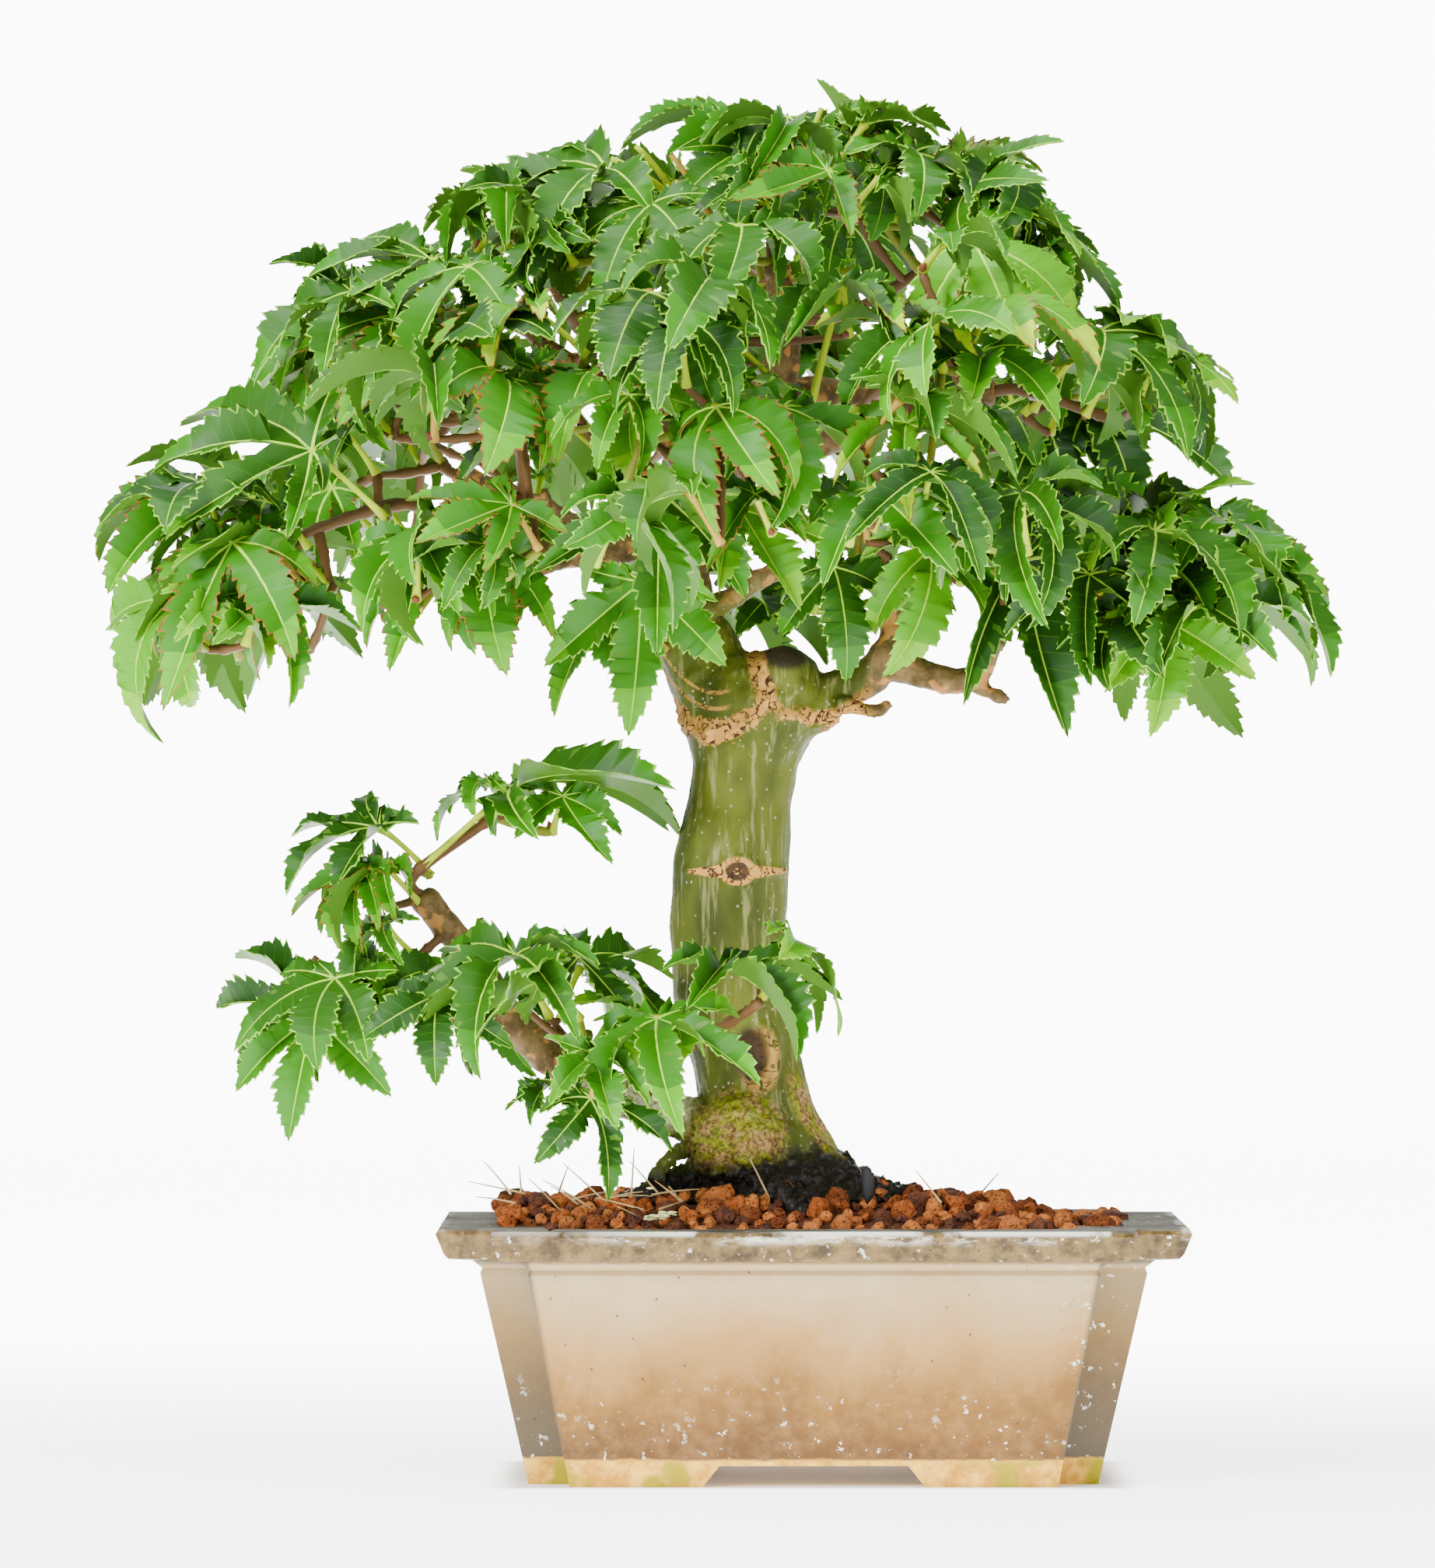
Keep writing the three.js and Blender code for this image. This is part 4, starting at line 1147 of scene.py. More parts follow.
def bark():
    finish = Finish("maple_bark", Specular_IOR_Level=0.2)
    ease, mix, near = finish.ease, finish.mix, finish.near
    x, y, z = finish.axes()
    cloud = finish.noise(9, scale=(1, 1, 0.4), detail=4)
    streak = finish.noise(1.5, scale=(1, 1, 0.1), detail=3, rough=0.6)
    fine = finish.noise(0.8, detail=4, rough=0.7)
    blotch = finish.noise(3.4, detail=4, rough=0.7)
    shift = blotch - 0.5
    high = ease(z + shift * 10, 160, 172)
    far_left = ease(x + shift * 8, -40, -50)
    right_side = ease(x + shift * 6, 8, 13) * ease(z, 120, 130)
    on_limbs = high.top(far_left).top(right_side)
    pale_limb = near((-36, -5, 71), (14, 10, 8), 0.4) * ease(fine, 0.35, 0.6)
    rings = ease(finish.noise(3.1, detail=1), 0.56, 0.64)
    eye, pupil = eye_zones(finish, x, y, z, blotch)
    lip = near((HOLLOW[0] + 1.4, -10, HOLLOW[1] - 1.2), (4, 6, 6.2), 0.3) * 0.6
    tan_zone = cork_zone(finish, x, y, z, blotch).top(eye).top(lip)
    cracked = finish.noise(2.6, detail=2, rough=0.6, twist=0.8)
    cork = mix(ease(abs(cracked - 0.5), 0.012, 0.045), BARK["crack"], mix(blotch, *BARK["cork"]))
    # Painted shade: the carved hollow is coloured near-black, and the same near-black goes on the
    # eye's pupil, the knob's cap and the stub's end.
    shaded_hollow = near((HOLLOW[0] - 0.3, -10, HOLLOW[1]), (3.4, 6, 5.2)).top(pupil)
    cap = near((KNOB[0] + 0.6, -9, KNOB[1] + 3.4), (4.4, 9, 3.1))
    stub = near((-36.5, -10, 188.5), (4, 5, 4.4))
    root_moss = ease(abs(z + x * 1.3 - 68), 5, 2.5) * ease(x, -6, -2) * ease(z, 80, 74)
    mossy = near((BURL[0], -9, BURL[1]), (9, 9, 9)).top(root_moss)
    moss = mix(ease(fine, 0.35, 0.65), *BARK["moss"])
    bare = mix(ease(fine, 0.4, 0.6), *BARK["bare"])
    wet = ease(z + shift * 9 + abs(x - 2) * 0.16, 64, 60)
    finish.set(Base_Color=finish.coats(
        mix(ease(cloud, 0.3, 0.72), *BARK["olive"]),
        (ease(streak, 0.52, 0.7) * 0.6, BARK["streak"]),
        (ease(finish.cells(1.9), 0.17, 0.08) * 0.7, BARK["lenticel"]),
        (pale_limb * 0.8, BARK["pale_limb"]),
        (on_limbs * 0.85, mix(ease(blotch, 0.35, 0.65), *BARK["brown"])),
        (rings * on_limbs * 0.75, BARK["ring"]),
        (tan_zone, cork),
        (shaded_hollow.top(cap).top(stub) * 0.92, BARK["hollow"]),
        (mossy * 0.9, mix(ease(blotch, 0.44, 0.56), bare, moss)),
        (wet, mix(ease(fine, 0.45, 0.8), *BARK["wet"])),
    ))
    finish.set(Roughness=fine * 0.25 + 0.45 + tan_zone * 0.2 - wet * 0.2)
    finish.bump(streak * 0.3 + fine * 0.5 + blotch * 0.4, 0.28)
    return finish.material


WOODEN = ["trunk", *LIMBS]
wood.data.materials.clear()
wood.data.materials.append(bark())
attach(wood, "root")
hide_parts(*WOODEN)
print("bark is on", len(WOODEN), "pieces of wood")

# %% [markdown]
# ## The foliage
# A lion's-head maple carries its leaves in dense sprays. A leaf has seven lobes round a yellow
# green hub, each lobe arched like a claw, folded along its rib and cut into forward teeth with a
# thin pale edge. Leaves could be cards cut by an image. Here each one is a mesh with its own
# outline, ribs, veins and edges, and a seeded rule spreads them through each mass's space.

# %% The spaces of the masses
# Each mass: the limb it grows from and how far along, the middle and half-size of its space in
# millimetres, the length of its leaves, and how many are strewn in it besides the placed ones.
MASSES = {
    "top_leaves": ("leader", 1, (1, -14, 240), (30, 42, 20), 27, 13),
    "top_left_leaves": ("upper_left_limb", 0.8, (-51, -8, 229), (24, 43, 20), 27, 13),
    "top_right_leaves": ("leader", 0.88, (30, -8, 229), (25, 44, 25), 27, 14),
    "back_top_leaves": ("leader", 0.94, (-12, 34, 231), (44, 32, 22), 30, 13),
    "upper_left_leaves": ("upper_left_limb", 1, (-81, -2, 211), (26, 45, 23), 28, 12),
    "left_leaves": ("left_limb", 1, (-109, -8, 166), (27, 42, 31), 31, 13),
    "left_front_leaves": ("left_limb", 0.72, (-55, -46, 187), (28, 37, 38), 29, 13),
    "front_leaves": ("front_limb", 1, (-25, -58, 194), (28, 40, 48), 29, 13),
    "front_right_leaves": ("right_limb", 0.6, (24, -54, 194), (30, 38, 42), 29, 11),
    "upper_right_leaves": ("right_limb", 1, (57, -6, 203), (24, 46, 18), 28, 9),
    "right_leaves": ("low_right_fork", 1, (69, -12, 163), (29, 44, 29), 30, 12),
    "low_right_leaves": ("low_right_limb", 1, (14, -15, 173), (27, 30, 19), 24, 5),
    "back_left_leaves": ("back_left_limb", 1, (-74, 56, 190), (40, 42, 34), 33, 14),
    "back_leaves": ("back_limb", 1, (-14, 66, 196), (34, 40, 42), 33, 15),
    "back_right_leaves": ("back_right_limb", 1, (46, 58, 182), (38, 42, 34), 33, 14),
    "low_crest_leaves": ("low_limb", 1, (-60, -6, 124), (37, 26, 17), 21, 0),
    "low_left_leaves": ("low_side_limb", 1, (-94, -10, 90), (22, 28, 26), 23, 1),
    "low_front_leaves": ("low_limb", 0.42, (-42, -30, 80), (29, 26, 22), 24, 3),
    "low_right_side_leaves": ("low_limb", 0.22, (-10, -36, 93), (18, 24, 16), 24, 1),
    "low_back_leaves": ("low_limb", 0.6, (-58, 26, 87), (30, 26, 16), 24, 4),
}
MASS_MIDDLES = np.array([mass[2] for mass in MASSES.values()], dtype=float)
MASS_HALVES = np.array([mass[3] for mass in MASSES.values()], dtype=float)
STALK_LENGTH = 13
STEM_RADII = (1.15, 0.9)
SHARED_SPACE = 0.06
SCALES = (1, 0.88, 0.76, 0.64)
TURNS = (0, 0.4, -0.4, 0.8, -0.8)


def stem_course(mass):
    """The stem of a mass, from its limb into the heart of its space."""
    limb, along, at, half, leaf, _ = mass
    course = COURSES[limb]
    _, foot_radius, tip_radius = LIMBS[limb]
    foot, way = course.at(along), course.way(along)
    heart = np.array([at[0], at[1], at[2] + half[2] - 0.8 * leaf])
    forward = way
    if along < 1:
        forward = heart - foot
        forward = forward - way * (forward @ way)
        forward /= np.linalg.norm(forward)
    radius = foot_radius + (tip_radius - foot_radius) * along
    start = foot + forward * (radius - 0.6 if along < 1 else -0.6)
    rise = start + forward * 0.2 * np.linalg.norm(heart - start)
    return Course([start, rise, heart])


STEMS = {name: stem_course(mass) for name, mass in MASSES.items()}


def limb_balls():
    """Every limb and the trunk as chains of balls, to keep leaves and twigs off them."""
    centres, radii = [], []
    for name, (_, foot, tip) in LIMBS.items():
        steps = math.ceil(COURSES[name].length / 2)
        shares = np.linspace(0, 1, steps + 1)
        centres.append(COURSES[name].at(shares))
        radii.append(foot + (tip - foot) * shares)
    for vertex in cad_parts["trunk"].data.vertices:
        centres.append((np.array([vertex.co]) - POT_MIDDLE) / MM)
        radii.append(np.array([0.5]))
    return np.concatenate(centres), np.concatenate(radii)


LIMB_BALLS = limb_balls()


def in_own_space(index, points):
    """Whether points lie in a mass's space, and no other mass has a better claim to them."""
    away = (points[:, None, :] - MASS_MIDDLES) / MASS_HALVES
    reach = (away**4).sum(axis=2) ** 0.25
    own = reach[:, index]
    others = np.delete(reach, index, axis=1).min(axis=1)
    return (own <= 0.965).all() and (others > own - SHARED_SPACE).all()


def is_clear(points, balls, margin):
    centres, radii = balls
    away = np.linalg.norm(points[:, None, :] - centres, axis=2)
    return (away > radii + margin).all()


print("masses", len(MASSES), "strewn leaves at most", sum(mass[5] for mass in MASSES.values()))


# %% A leaf's outline
# Lobes: bearing in degrees, length over the middle lobe's, and teeth on each side.
LOBES = (
    (-131, 0.27, 2), (-97, 0.54, 5), (-49, 0.86, 7), (0, 1, 8),
    (49, 0.86, 7), (97, 0.54, 5), (131, 0.27, 2),
)
HALF_WIDTH = 0.2
EDGE = 0.12
VEIN, RIM, RED_RIM, UNDER, RIB = 6, 7, 8, 9, 10


class Leaf:
    """One leaf in its own frame: x runs along the middle lobe and z stands up from the blade."""

    def __init__(self, length, draw):
        self.length = length
        count = len(LOBES)
        self.bearing = np.array([math.radians(b + 8 * (draw() - 0.5)) for b, _, _ in LOBES])
        self.reach = np.array([length * s * (0.86 + 0.24 * draw()) for _, s, _ in LOBES])
        self.width = np.array(
            [HALF_WIDTH * length * s**0.75 * (0.78 + 0.36 * draw()) for _, s, _ in LOBES]
        )
        self.bend = 0.35 + 1.05 * draw() + 0.7 * np.array([draw() for _ in range(count)])
        self.rise = 0.05 + 0.45 * draw() + 0.4 * np.array([draw() - 0.5 for _ in range(count)])
        self.fold = 0.1 + 0.85 * draw() + 0.4 * np.array([draw() - 0.5 for _ in range(count)])
        self.sway = 0.6 * np.array([draw() - 0.5 for _ in range(count)])
        self.sway -= 0.06 * np.sign(self.bearing)
        self.wave = 0.7 + 1.2 * draw()
        self.phase = np.array([6.28 * draw() for _ in range(count)])
        self.marks = []
        self.faces = []
        self.finishes = []

    def mark(self, lobe, share, aside=0.0, above=0.0):
        """Adds a point: share of the way along a lobe, how far to its left and above the blade."""
        self.marks.append((lobe, share, aside, above))
        return len(self.marks) - 1

    def face(self, corners, finish, side=1):
        self.faces.append(tuple(corners[::side]))
        self.finishes.append(finish)

    def points(self, lobe=None, share=None, aside=None, above=None):
        """Where the marks lie."""
        if lobe is None:
            lobe, share, aside, above = np.array(self.marks).T
        lobe = lobe.astype(int)
        bend, rise, reach = self.bend[lobe], self.rise[lobe], self.reach[lobe]
        slope = bend * share - rise
        out = reach * (np.sin(slope) + np.sin(rise)) / bend
        up = reach * (np.cos(slope) - np.cos(rise)) / bend
        fold = self.fold[lobe] * np.clip(share * 3.5, 0, 1)
        edge = np.abs(aside) / self.width[lobe]
        ripple = np.sin(self.phase[lobe] + 9.5 * share + np.sign(aside) * 0.9)
        crinkle = self.wave * ripple * edge**2
        lift = above + np.abs(aside) * np.sin(fold) + crinkle
        across = aside * np.cos(fold) + self.sway[lobe] * reach * share**2
        away = out + lift * np.sin(slope)
        height = up + lift * np.cos(slope)
        cos, sin = np.cos(self.bearing[lobe]), np.sin(self.bearing[lobe])
        return np.stack([away * cos - across * sin, away * sin + across * cos, height], axis=1)

    def outline(self):
        """A few points that stand for the whole leaf where its space is tested."""
        lobe, share, aside = [], [], []
        for i in range(len(LOBES)):
            for s, a in ((0.4, 1.1), (0.4, -1.1), (0.7, 0.8), (0.7, -0.8), (0.6, 0), (1.0, 0)):
                lobe.append(i)
                share.append(s)
                aside.append(a * self.width[i])
        return self.points(np.array(lobe), np.array(share), np.array(aside), np.zeros(len(lobe)))

    def half_width(self, lobe, share):
        return self.width[lobe] * 4.9 * share**1.1 * (1 - share) ** 1.2

    def sinus(self, first, second):
        """The point where two lobes part, marked for both."""
        opening = abs(self.bearing[second] - self.bearing[first]) / 2
        away = 0.23 * min(self.reach[first], self.reach[second]) + 0.03 * self.length
        along = away * math.cos(opening)
        share, other_share = along / self.reach[first], along / self.reach[second]
        return self.mark(first, share, away * math.sin(opening)), share, other_share


def add_half_lobe(leaf, lobe, side, corner, start, tints, rim):
    """The blade of one side of a lobe, from the corner where it begins to its tip."""
    teeth = LOBES[lobe][2]
    end = 0.955
    stops = [start + (end - start) * (i / teeth) ** 0.93 for i in range(teeth + 1)]
    hub, under_hub, tip = leaf.shared
    edge = inner = corner
    step = stops[1] - stops[0]
    rib = leaf.mark(lobe, start + 0.02 * step)
    under = leaf.mark(lobe, start, 0, -0.3)
    leaf.face((hub, rib, corner), tints[0], side)
    leaf.face((under_hub, corner, under), UNDER, side)

    def point(share, width, above=0.0):
        return leaf.mark(lobe, share, side * width, above)

    for i in range(teeth):
        step = stops[i + 1] - stops[i]
        low, high = (leaf.half_width(lobe, stops[i] + part * step) for part in (0.42, 0.84))
        after = leaf.half_width(lobe, stops[i + 1]) * 0.8
        small_tooth = point(stops[i] + 0.42 * step, low)
        small_notch = point(stops[i] + 0.46 * step, low * 0.9)
        tooth = point(stops[i] + 0.98 * step, high * 1.06 + 0.12)
        tooth_inner = point(stops[i] + 0.84 * step, high * 1.02 - EDGE * 0.7, 0.17)
        notch = point(stops[i + 1], after)
        notch_inner = point(stops[i + 1] - 0.04 * step, max(after - EDGE, after * 0.5), 0.27)
        small_inner = point(stops[i] + 0.44 * step, low * 0.93 - EDGE, 0.24)
        vein_end = leaf.mark(lobe, stops[i] + 0.07 * step)
        next_rib = leaf.mark(lobe, stops[i + 1] + 0.02 * step)
        next_under = leaf.mark(lobe, stops[i + 1], 0, -0.3)
        tint = tints[0] if i < teeth * 0.6 else tints[1]
        leaf.face((rib, vein_end, tooth_inner), VEIN, side)
        leaf.face((rib, tooth_inner, small_inner, inner), tint, side)
        leaf.face((vein_end, next_rib, notch_inner, tooth_inner), tint, side)
        leaf.face((small_inner, tooth_inner, tooth, small_notch, small_tooth), rim, side)
        first = (small_inner, small_tooth, edge)
        leaf.face(first if inner == edge else (inner, *first), rim, side)
        leaf.face((tooth_inner, notch_inner, notch, tooth), rim, side)
        leaf.face((under, edge, small_tooth, small_notch, tooth, notch, next_under), UNDER, side)
        edge, inner, rib, under = notch, notch_inner, next_rib, next_under
    leaf.face((rib, tip[lobe], inner), tints[1], side)
    leaf.face((inner, tip[lobe], edge), rim, side)
    leaf.face((under, edge, tip[lobe]), UNDER, side)


def add_rib(leaf, lobe):
    """The raised rib of a lobe, from the hub to near the tip."""
    shares = np.linspace(0, 0.96, 5 if LOBES[lobe][1] < 0.5 else 9)
    rings = []
    for share in shares:
        half = (0.4 - 0.3 * share) * leaf.length / 38
        low, high = (-0.5 + 0.35 * share, 0.26 - 0.14 * share)
        rings.append([
            leaf.mark(lobe, share, half, 0.03), leaf.mark(lobe, share, 0, high),
            leaf.mark(lobe, share, -half, 0.03), leaf.mark(lobe, share, 0, low),
        ])
    for one, two in zip(rings, rings[1:]):
        for i in range(4):
            j = (i + 1) % 4
            leaf.face((one[i], one[j], two[j], two[i]), RIB, -1)


def whole_leaf(leaf, tints, rim):
    """Fills in the faces of a leaf."""
    tips = [leaf.mark(i, 1.0) for i in range(len(LOBES))]
    leaf.shared = (leaf.mark(3, 0.0, 0, 0.1), leaf.mark(3, 0.0, 0, -0.45), tips)
    last = len(LOBES) - 1
    starts = [[None, None] for _ in LOBES]
    starts[0][0] = (leaf.mark(0, 0.05, -0.35 * leaf.width[0]), 0.05)
    starts[last][1] = (leaf.mark(last, 0.05, 0.35 * leaf.width[last]), 0.05)
    for i in range(last):
        corner, share, other_share = leaf.sinus(i, i + 1)
        starts[i][1] = (corner, share)
        starts[i + 1][0] = (corner, other_share)
    for i in range(len(LOBES)):
        add_half_lobe(leaf, i, -1, *starts[i][0], tints, rim)
        add_half_lobe(leaf, i, 1, *starts[i][1], tints, rim)
        add_rib(leaf, i)
    return leaf.points()


sample = Leaf(38, chance(5))
sample_points = whole_leaf(sample, (0, 0), RIM)
print("one leaf has", len(sample_points), "points and", len(sample.faces), "faces")


# %% Where the leaves lie
def leaf_axes(bearing, tilt, roll):
    """Unit vectors outwards and level, and along, beside and above a leaf."""
    out = np.array([math.cos(bearing), math.sin(bearing), 0])
    along = out * math.cos(tilt) - np.array([0, 0, math.sin(tilt)])
    level = np.array([-out[1], out[0], 0])
    side = level * math.cos(roll) + np.cross(along, level) * math.sin(roll)
    return out, along, side, np.cross(along, side)


def leaf_place(mass, k, draw):
    """The k-th place on a mass's dome, and the way that a leaf faces there."""
    _, _, at, half, leaf, _ = mass
    depth = (0.5 + k * 0.7548777) % 1
    turn = 2 * math.pi * k * 0.5698403 + 0.5 * draw()
    spread = math.sqrt(depth)
    hub = np.array([
        at[0] + (half[0] - 0.42 * leaf) * spread * math.cos(turn),
        at[1] + (half[1] - 0.42 * leaf) * spread * math.sin(turn),
        at[2] + half[2] - 1 - depth * max(2 * half[2] - 0.8 * leaf, 4) - 3 * draw(),
    ])
    away = np.array([hub[0] + 20, hub[1]])
    away /= np.linalg.norm(away)
    bearing = math.atan2(math.sin(turn) + away[1], math.cos(turn) + away[0])
    tilt = -0.2 + 0.85 * depth + 0.6 * (draw() - 0.3)
    bearing += 1.5 * (draw() - 0.5)
    return hub, bearing, tilt, 1.7 * (draw() - 0.5), 0.6 + 0.5 * draw()


def try_leaf(index, mass, place, turned, scale, seed):
    hub, bearing, tilt, roll, climb = place
    out, along, side, up = leaf_axes(bearing + turned, tilt, roll)
    leaf = Leaf(mass[4] * scale, chance(seed))
    basis = np.stack([along, side, up])
    blade = leaf.outline() @ basis + hub
    root = hub - out * STALK_LENGTH * scale * math.cos(climb)
    root[2] -= STALK_LENGTH * scale * math.sin(climb)
    stalk = root + (hub - root) * np.linspace(0, 1, 5)[:, None]
    if not in_own_space(index, np.concatenate([blade, stalk])):
        return None
    if not is_clear(blade, LIMB_BALLS, 0.8) or not is_clear(stalk, LIMB_BALLS, 1.3):
        return None
    return {"leaf": leaf, "basis": basis, "hub": hub, "root": root}


def fit_leaf(index, mass, place, seed):
    """The first leaf that fits at a place: as it should lie, then turned aside, then smaller."""
    for scale in SCALES:
        for turned in TURNS:
            found = try_leaf(index, mass, place, turned, scale, seed)
            if found:
                return found
    return None


def lead_leaf(name, row, seed):
    """One of the leaves whose places are given, with its twig from the nearest wood."""
    place, bearing, tilt, roll, length, *curl = row
    hub = np.array(place, dtype=float)
    out, along, side, up = leaf_axes(math.radians(bearing), tilt, roll)
    root = hub - out * 0.4 * length - np.array([0, 0, 0.36 * length])
    own_stem = STEMS[name].at(np.linspace(0.1, 1, 10))
    wood_points = np.concatenate([own_stem] + [course.line for course in COURSES.values()])
    joint = wood_points[np.linalg.norm(wood_points - root, axis=1).argmin()]
    leaf = Leaf(length, chance(seed))
    leaf.bend = leaf.bend * (curl[0] if curl else 1)
    basis = np.stack([along, side, up])
    return {"leaf": leaf, "basis": basis, "hub": hub, "root": root, "joint": joint}


# Leaves that give the crown its outline: hub in millimetres, bearing in degrees from the right
# (-90 is to the front), tilt down and roll in radians, length, and for some how strongly it curls.
LEAD_LEAVES = {
    "top_leaves": [
        ((-9.8, -18, 249), -95, 0.25, 0, 27), ((8, -12, 243), 165, -1.0, 0.5, 24, 0.8),
        ((-13, -16, 253), 185, -0.2, -0.5, 24),
    ],
    "top_left_leaves": [
        ((-38.3, -20, 244.5), 192, 0.38, -0.4, 34), ((-30, -30, 238), -120, 0.6, 0, 27),
    ],
    "top_right_leaves": [
        ((12.8, -24, 245), -80, 0.6, 0, 20), ((18.6, -22, 248), -32, 0.45, 0, 31),
        ((29.6, -44, 229.6), -70, 0.55, 0.2, 31), ((41, -20, 230), -25, 0.5, 0, 21),
    ],
    "upper_left_leaves": [
        ((-86, -24, 222), 198, 0.6, -0.3, 28), ((-64, -34, 226), -120, 0.5, 0, 27),
        ((-71, -20, 228), 187, 0.25, -0.4, 26),
    ],
    "left_leaves": [
        ((-93, -34, 192), 172, -0.05, -0.8, 35), ((-107.6, -34, 175), -118, 0.75, 0, 34),
        ((-113, -14, 177), 180, 0.85, -0.2, 30),
    ],
    "left_front_leaves": [
        ((-70, -54, 205), -90, -0.3, 0, 31, 1.2), ((-72.5, -50, 174), -85, 0.5, 0, 27),
        ((-41, -50, 206), -100, 0.35, 0.2, 27), ((-38, -8, 165), 195, 0.85, -0.3, 27),
        ((-60, -30, 172), -100, 0.9, 0, 26), ((-74, -30, 171), -92, 1.1, 0.2, 24, 0.7),
    ],
    "front_leaves": [
        ((-28.3, -44, 184), -95, 1.15, 0, 32, 0.7), ((-13.9, -34, 181.4), -48, 1.1, 0.2, 27, 0.6),
        ((-13.7, -52, 232.5), -85, 0.35, 0, 28), ((-32, -18, 168), -100, 1.3, 0, 27, 0.5),
        ((-19, -56, 219), -120, 0.75, 0.2, 28), ((5, -54, 222), -98, 0.35, 0, 25),
        ((-6, -62, 199), -70, 0.8, -0.2, 29),
    ],
    "front_right_leaves": [
        ((17.2, -60, 213), -82, 0.55, 0, 25), ((16.6, -62, 196), -96, 0.75, 0, 26),
        ((41, -50, 181), -62, 0.5, 0.2, 28), ((30, -58, 209), -88, 0.6, 0, 26),
    ],
    "upper_right_leaves": [((52.8, -34, 214), -38, 0.6, 0.1, 32)],
    "right_leaves": [
        ((62.9, -38, 177), -35, 0.45, 0.1, 31), ((51, -36, 169), -100, 0.8, 0, 26),
        ((72, -20, 172), -14, 0.75, 0.2, 29), ((65, -30, 161), -75, 1.35, 0, 27, 0.4),
        ((84, -26, 173), -25, 1.05, 0, 28, 0.6),
    ],
    "low_right_leaves": [
        ((-3.5, 26, 169), -80, 0.75, 0, 23), ((4, -12, 171), -65, 0.9, 0.2, 23),
        ((39, -20, 172), -70, 1.4, 0, 38, 0.4), ((22, -18, 174), -85, 1.1, -0.2, 27),
        ((-14, 24, 166), -20, 0.35, -0.6, 29),
    ],
    "low_crest_leaves": [
        ((-56.8, -9, 129.5), -4, -0.4, 0.2, 42, 0.95), ((-47, -8, 128), -75, 0.95, 0, 19),
        ((-61, -6, 131), 190, 0.3, 0, 15), ((-81.2, -9, 122), 198, 0.6, -0.2, 25),
        ((-80, -14, 115), 215, 0.5, 0, 21),
    ],
    "low_left_leaves": [
        ((-80, -16, 104), 215, 0.8, -0.2, 17), ((-84, -14, 114), 238, 0.9, 0, 19),
        ((-93, -22, 87), 250, 1.2, 0, 24, 0.5), ((-70, -26, 91), -95, 1.1, 0, 21),
        ((-89.3, -20, 94), 248, 0.75, 0, 27),
        ((-94.7, -12, 88), 182, -0.2, -0.9, 25, 0.8), ((-83, -18, 90), 25, -0.5, 0.5, 22),
    ],
    "low_front_leaves": [
        ((-55.3, -30, 98.5), -118, 0.65, 0, 32), ((-29, -40, 87), -92, 0.5, 0, 29),
        ((-43.8, -22, 98), -12, 0.1, 0.3, 26), ((-41.4, -30, 72), -62, 1.0, 0, 21),
        ((-48.4, -26, 75), -130, 0.4, 0, 13),
    ],
    "low_right_side_leaves": [((-17, -38, 96.5), -42, 0.4, 0, 31)],
}


# Windows in the crown through which light falls: middle and half sizes across and up.
WINDOWS = [(42, 191, 9, 10), (-66, 188, 10, 9), (-26, 246, 8, 7), (-86, 160, 6, 8), (66, 190, 7, 6)]


def shuts_window(leaf):
    """Whether the blade of a leaf would hang in one of the windows."""
    out = leaf["basis"][0]
    middle = leaf["hub"] + out * 0.4 * leaf["leaf"].length
    across, high = middle[0], middle[2]
    return any(math.hypot((across - x) / w, (high - z) / h) < 1.15 for x, z, w, h in WINDOWS)


def grow_mass(index, name, mass):
    """Leaves of a mass, each with the point where its twig begins."""
    draw = chance(index + 1)
    joints = list(STEMS[name].at(np.linspace(0.35, 1, 6)))
    placed = LEAD_LEAVES.get(name, ())
    leaves = [lead_leaf(name, row, 50 * index + i) for i, row in enumerate(placed)]
    most = mass[5] + len(leaves)
    for k in range(150):
        place = leaf_place(mass, k, draw)
        if len(leaves) == most:
            break
        if any(np.linalg.norm(other["hub"] - place[0]) < 0.26 * mass[4] for other in leaves):
            continue
        found = fit_leaf(index, mass, place, 1000 * (index + 1) + k)
        if not found or shuts_window(found):
            continue
        joint = min(joints, key=lambda j: np.linalg.norm(j - found["root"]))
        twig = joint + (found["root"] - joint) * np.linspace(0, 1, 6)[:, None]
        if not is_clear(twig, LIMB_BALLS, 1.2):
            continue
        found["joint"] = joint
        joints.append(found["root"])
        leaves.append(found)
    return leaves


SPRAYS = {name: grow_mass(i, name, mass) for i, (name, mass) in enumerate(MASSES.items())}
print("leaves", {name: len(leaves) for name, leaves in SPRAYS.items()})
print("in all", sum(len(leaves) for leaves in SPRAYS.values()))

# %% [markdown]
# ### Leaf colours
# Most leaves are a warm middle green, the newest are yellow green, and the backs are paler and
# dull. Each leaf takes one or two of the greens below, so the colour sits on the leaf.

# %% Leaf finishes
LEAF_SHADES = {
    "deep_green": (0.01, 0.062, 0.001),
    "dusky_green": (0.02, 0.105, 0.001),
    "mid_green": (0.03, 0.175, 0.001),
    "grass_green": (0.08, 0.32, 0.001),
    "fresh_green": (0.17, 0.44, 0.001),
    "yellow_green": (0.4, 0.62, 0.001),
    "side_vein": (0.05, 0.19, 0.003),
    "pale_edge": (0.22, 0.5, 0.02),
    "red_edge": (0.2, 0.09, 0.01),
    "leaf_back": (0.07, 0.19, 0.012),
    "leaf_rib": (0.42, 0.72, 0.04),
}
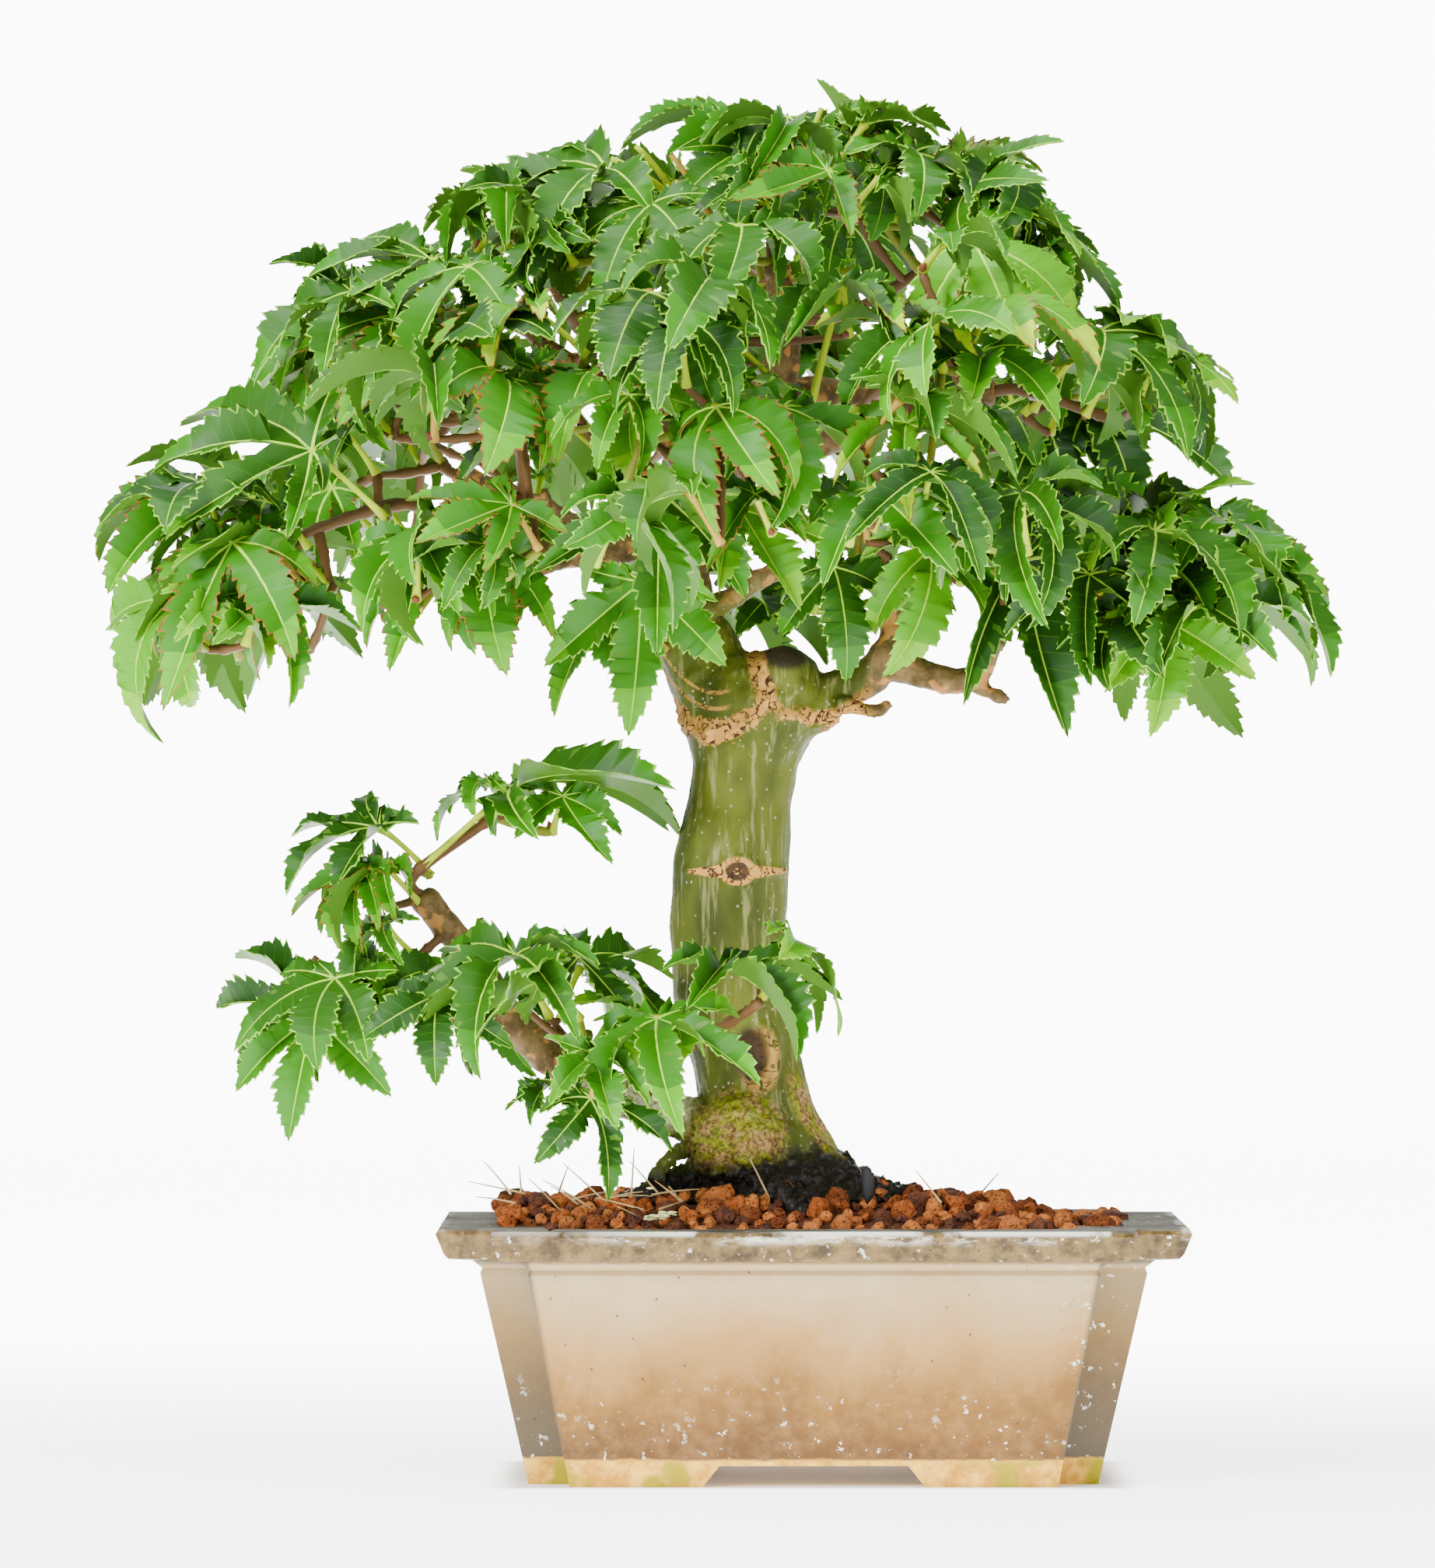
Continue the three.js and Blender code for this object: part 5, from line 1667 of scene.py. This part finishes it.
# For each kind of leaf: its chance, its greens at the middle and towards the tips, and its edge.
LEAF_KINDS = (
    (0.26, 0, 1, RIM), (0.45, 1, 2, RIM), (0.65, 2, 2, RIM), (0.73, 2, 3, RED_RIM),
    (0.84, 2, 3, RIM), (0.94, 3, 4, RIM), (1.0, 3, 5, RED_RIM),
)


LEAF_FINISHES = plain(LEAF_SHADES, 0.46)


def spray_blades(name, leaves, seed):
    """All the leaf blades of one mass as one piece."""
    draw = chance(seed)
    shapes, finishes = [], []
    for found in leaves:
        kind = draw()
        _, middle, tips, rim = next(row for row in LEAF_KINDS if kind <= row[0])
        leaf = found["leaf"]
        blade = whole_leaf(leaf, (middle, tips), rim) @ found["basis"] + found["hub"]
        shapes.append((blade, leaf.faces))
        finishes += leaf.finishes
    points, faces = join_shapes(shapes)
    piece = add_mesh(name.replace("leaves", "blades"), points, faces, LEAF_FINISHES, finishes)
    select_only(piece)
    bpy.ops.object.shade_smooth_by_angle(angle=math.radians(62))
    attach(piece, "root")
    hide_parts(name)
    return piece


BLADES = [spray_blades(name, leaves, 77 + i) for i, (name, leaves) in enumerate(SPRAYS.items())]
print("leaf faces", sum(len(piece.data.polygons) for piece in BLADES))


# %% Twigs and leaf stalks
def bow(start, end, rise, steps):
    """A line of points from start to end that bows upwards by a height."""
    shares = np.linspace(0, 1, steps + 1)[:, None]
    line = start + (end - start) * shares
    line[:, 2] += (4 * shares * (1 - shares))[:, 0] * rise
    return line


# Shoots that have lost their leaves, and one long stalk: where each begins and ends.
BARE_STALKS = {
    "top_leaves": [((-17, -18, 232), (-26.7, -24, 247.7)), ((-4, -14, 236), (1.5, -20, 256.4))],
    "front_leaves": [((-1.3, -46, 196.6), (5, -53, 221.5)), ((-1.3, -46, 196.6), (-16, -50, 212))],
    "top_left_leaves": [((-24.4, -16, 238), (-37.7, -20, 247)), ((-24, -16, 237), (-33, -24, 249))],
}


def spray_twigs(name, leaves, seed):
    """The stem, twigs, buds and leaf stalks of one mass as one piece."""
    draw = chance(seed)
    shapes, finishes = [], []

    def add(shape, finish):
        shapes.append(shape)
        finishes.extend([finish] * len(shape[1]))

    stem = STEMS[name].at(np.linspace(0, 1, 24))
    swell = np.array([0.3 if draw() < 0.25 else 0.05 * draw() for _ in stem])
    add(tube(stem, np.linspace(*STEM_RADII, 24) + swell, 8), 0)
    for found in leaves:
        joint, root, hub = found["joint"], found["root"], found["hub"]
        twig = bow(joint, root, -0.04 * np.linalg.norm(root - joint), 8)
        rings = np.array([0.28 if draw() < 0.22 else 0.0 for _ in twig])
        add(tube(twig, np.linspace(0.95, 0.72, 9) + rings, 6), 0 if draw() < 0.6 else 1)
        stalk = bow(root, hub, 1.1 * (draw() - 0.2), 7)
        widths = np.array([1.1, 0.8, 0.66, 0.6, 0.58, 0.6, 0.72, 1.05])
        add(tube(stalk, widths, 6), 2 if draw() < 0.75 else 3)
        if draw() < 0.6:
            way = hub - root
            side = np.cross(way / np.linalg.norm(way), [draw() - 0.5, draw() - 0.5, 0.4])
            forward = side + way / np.linalg.norm(way)
            bud = root + side * 0.4 + forward * np.linspace(0, 2.2, 5)[:, None]
            add(tube(bud, [0.45, 0.8, 0.75, 0.45, 0.1], 6), 4)
    for i, (start, end) in enumerate(BARE_STALKS.get(name, ())):
        shoot = bow(np.array(start, dtype=float), np.array(end, dtype=float), 1.2, 7)
        add(tube(shoot, np.linspace(0.85, 0.55, 8), 6), 3 - i if name == "top_leaves" else 2)
    points, faces = join_shapes(shapes)
    piece = add_mesh(name.replace("leaves", "twigs"), points, faces, TWIG_FINISHES, finishes)
    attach(piece, "root")
    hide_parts(name)
    return piece


TWIG_SHADES = {
    "twig_brown": (0.13, 0.065, 0.02),
    "twig_green": (0.2, 0.23, 0.015),
    "leaf_stalk": (0.42, 0.56, 0.004),
    "red_stalk": (0.5, 0.3, 0.04),
    "bud_red": (0.16, 0.045, 0.02),
}
TWIG_FINISHES = plain(TWIG_SHADES, 0.55)
TWIGS = [spray_twigs(name, leaves, 311 + i) for i, (name, leaves) in enumerate(SPRAYS.items())]
print("twig faces", sum(len(piece.data.polygons) for piece in TWIGS))
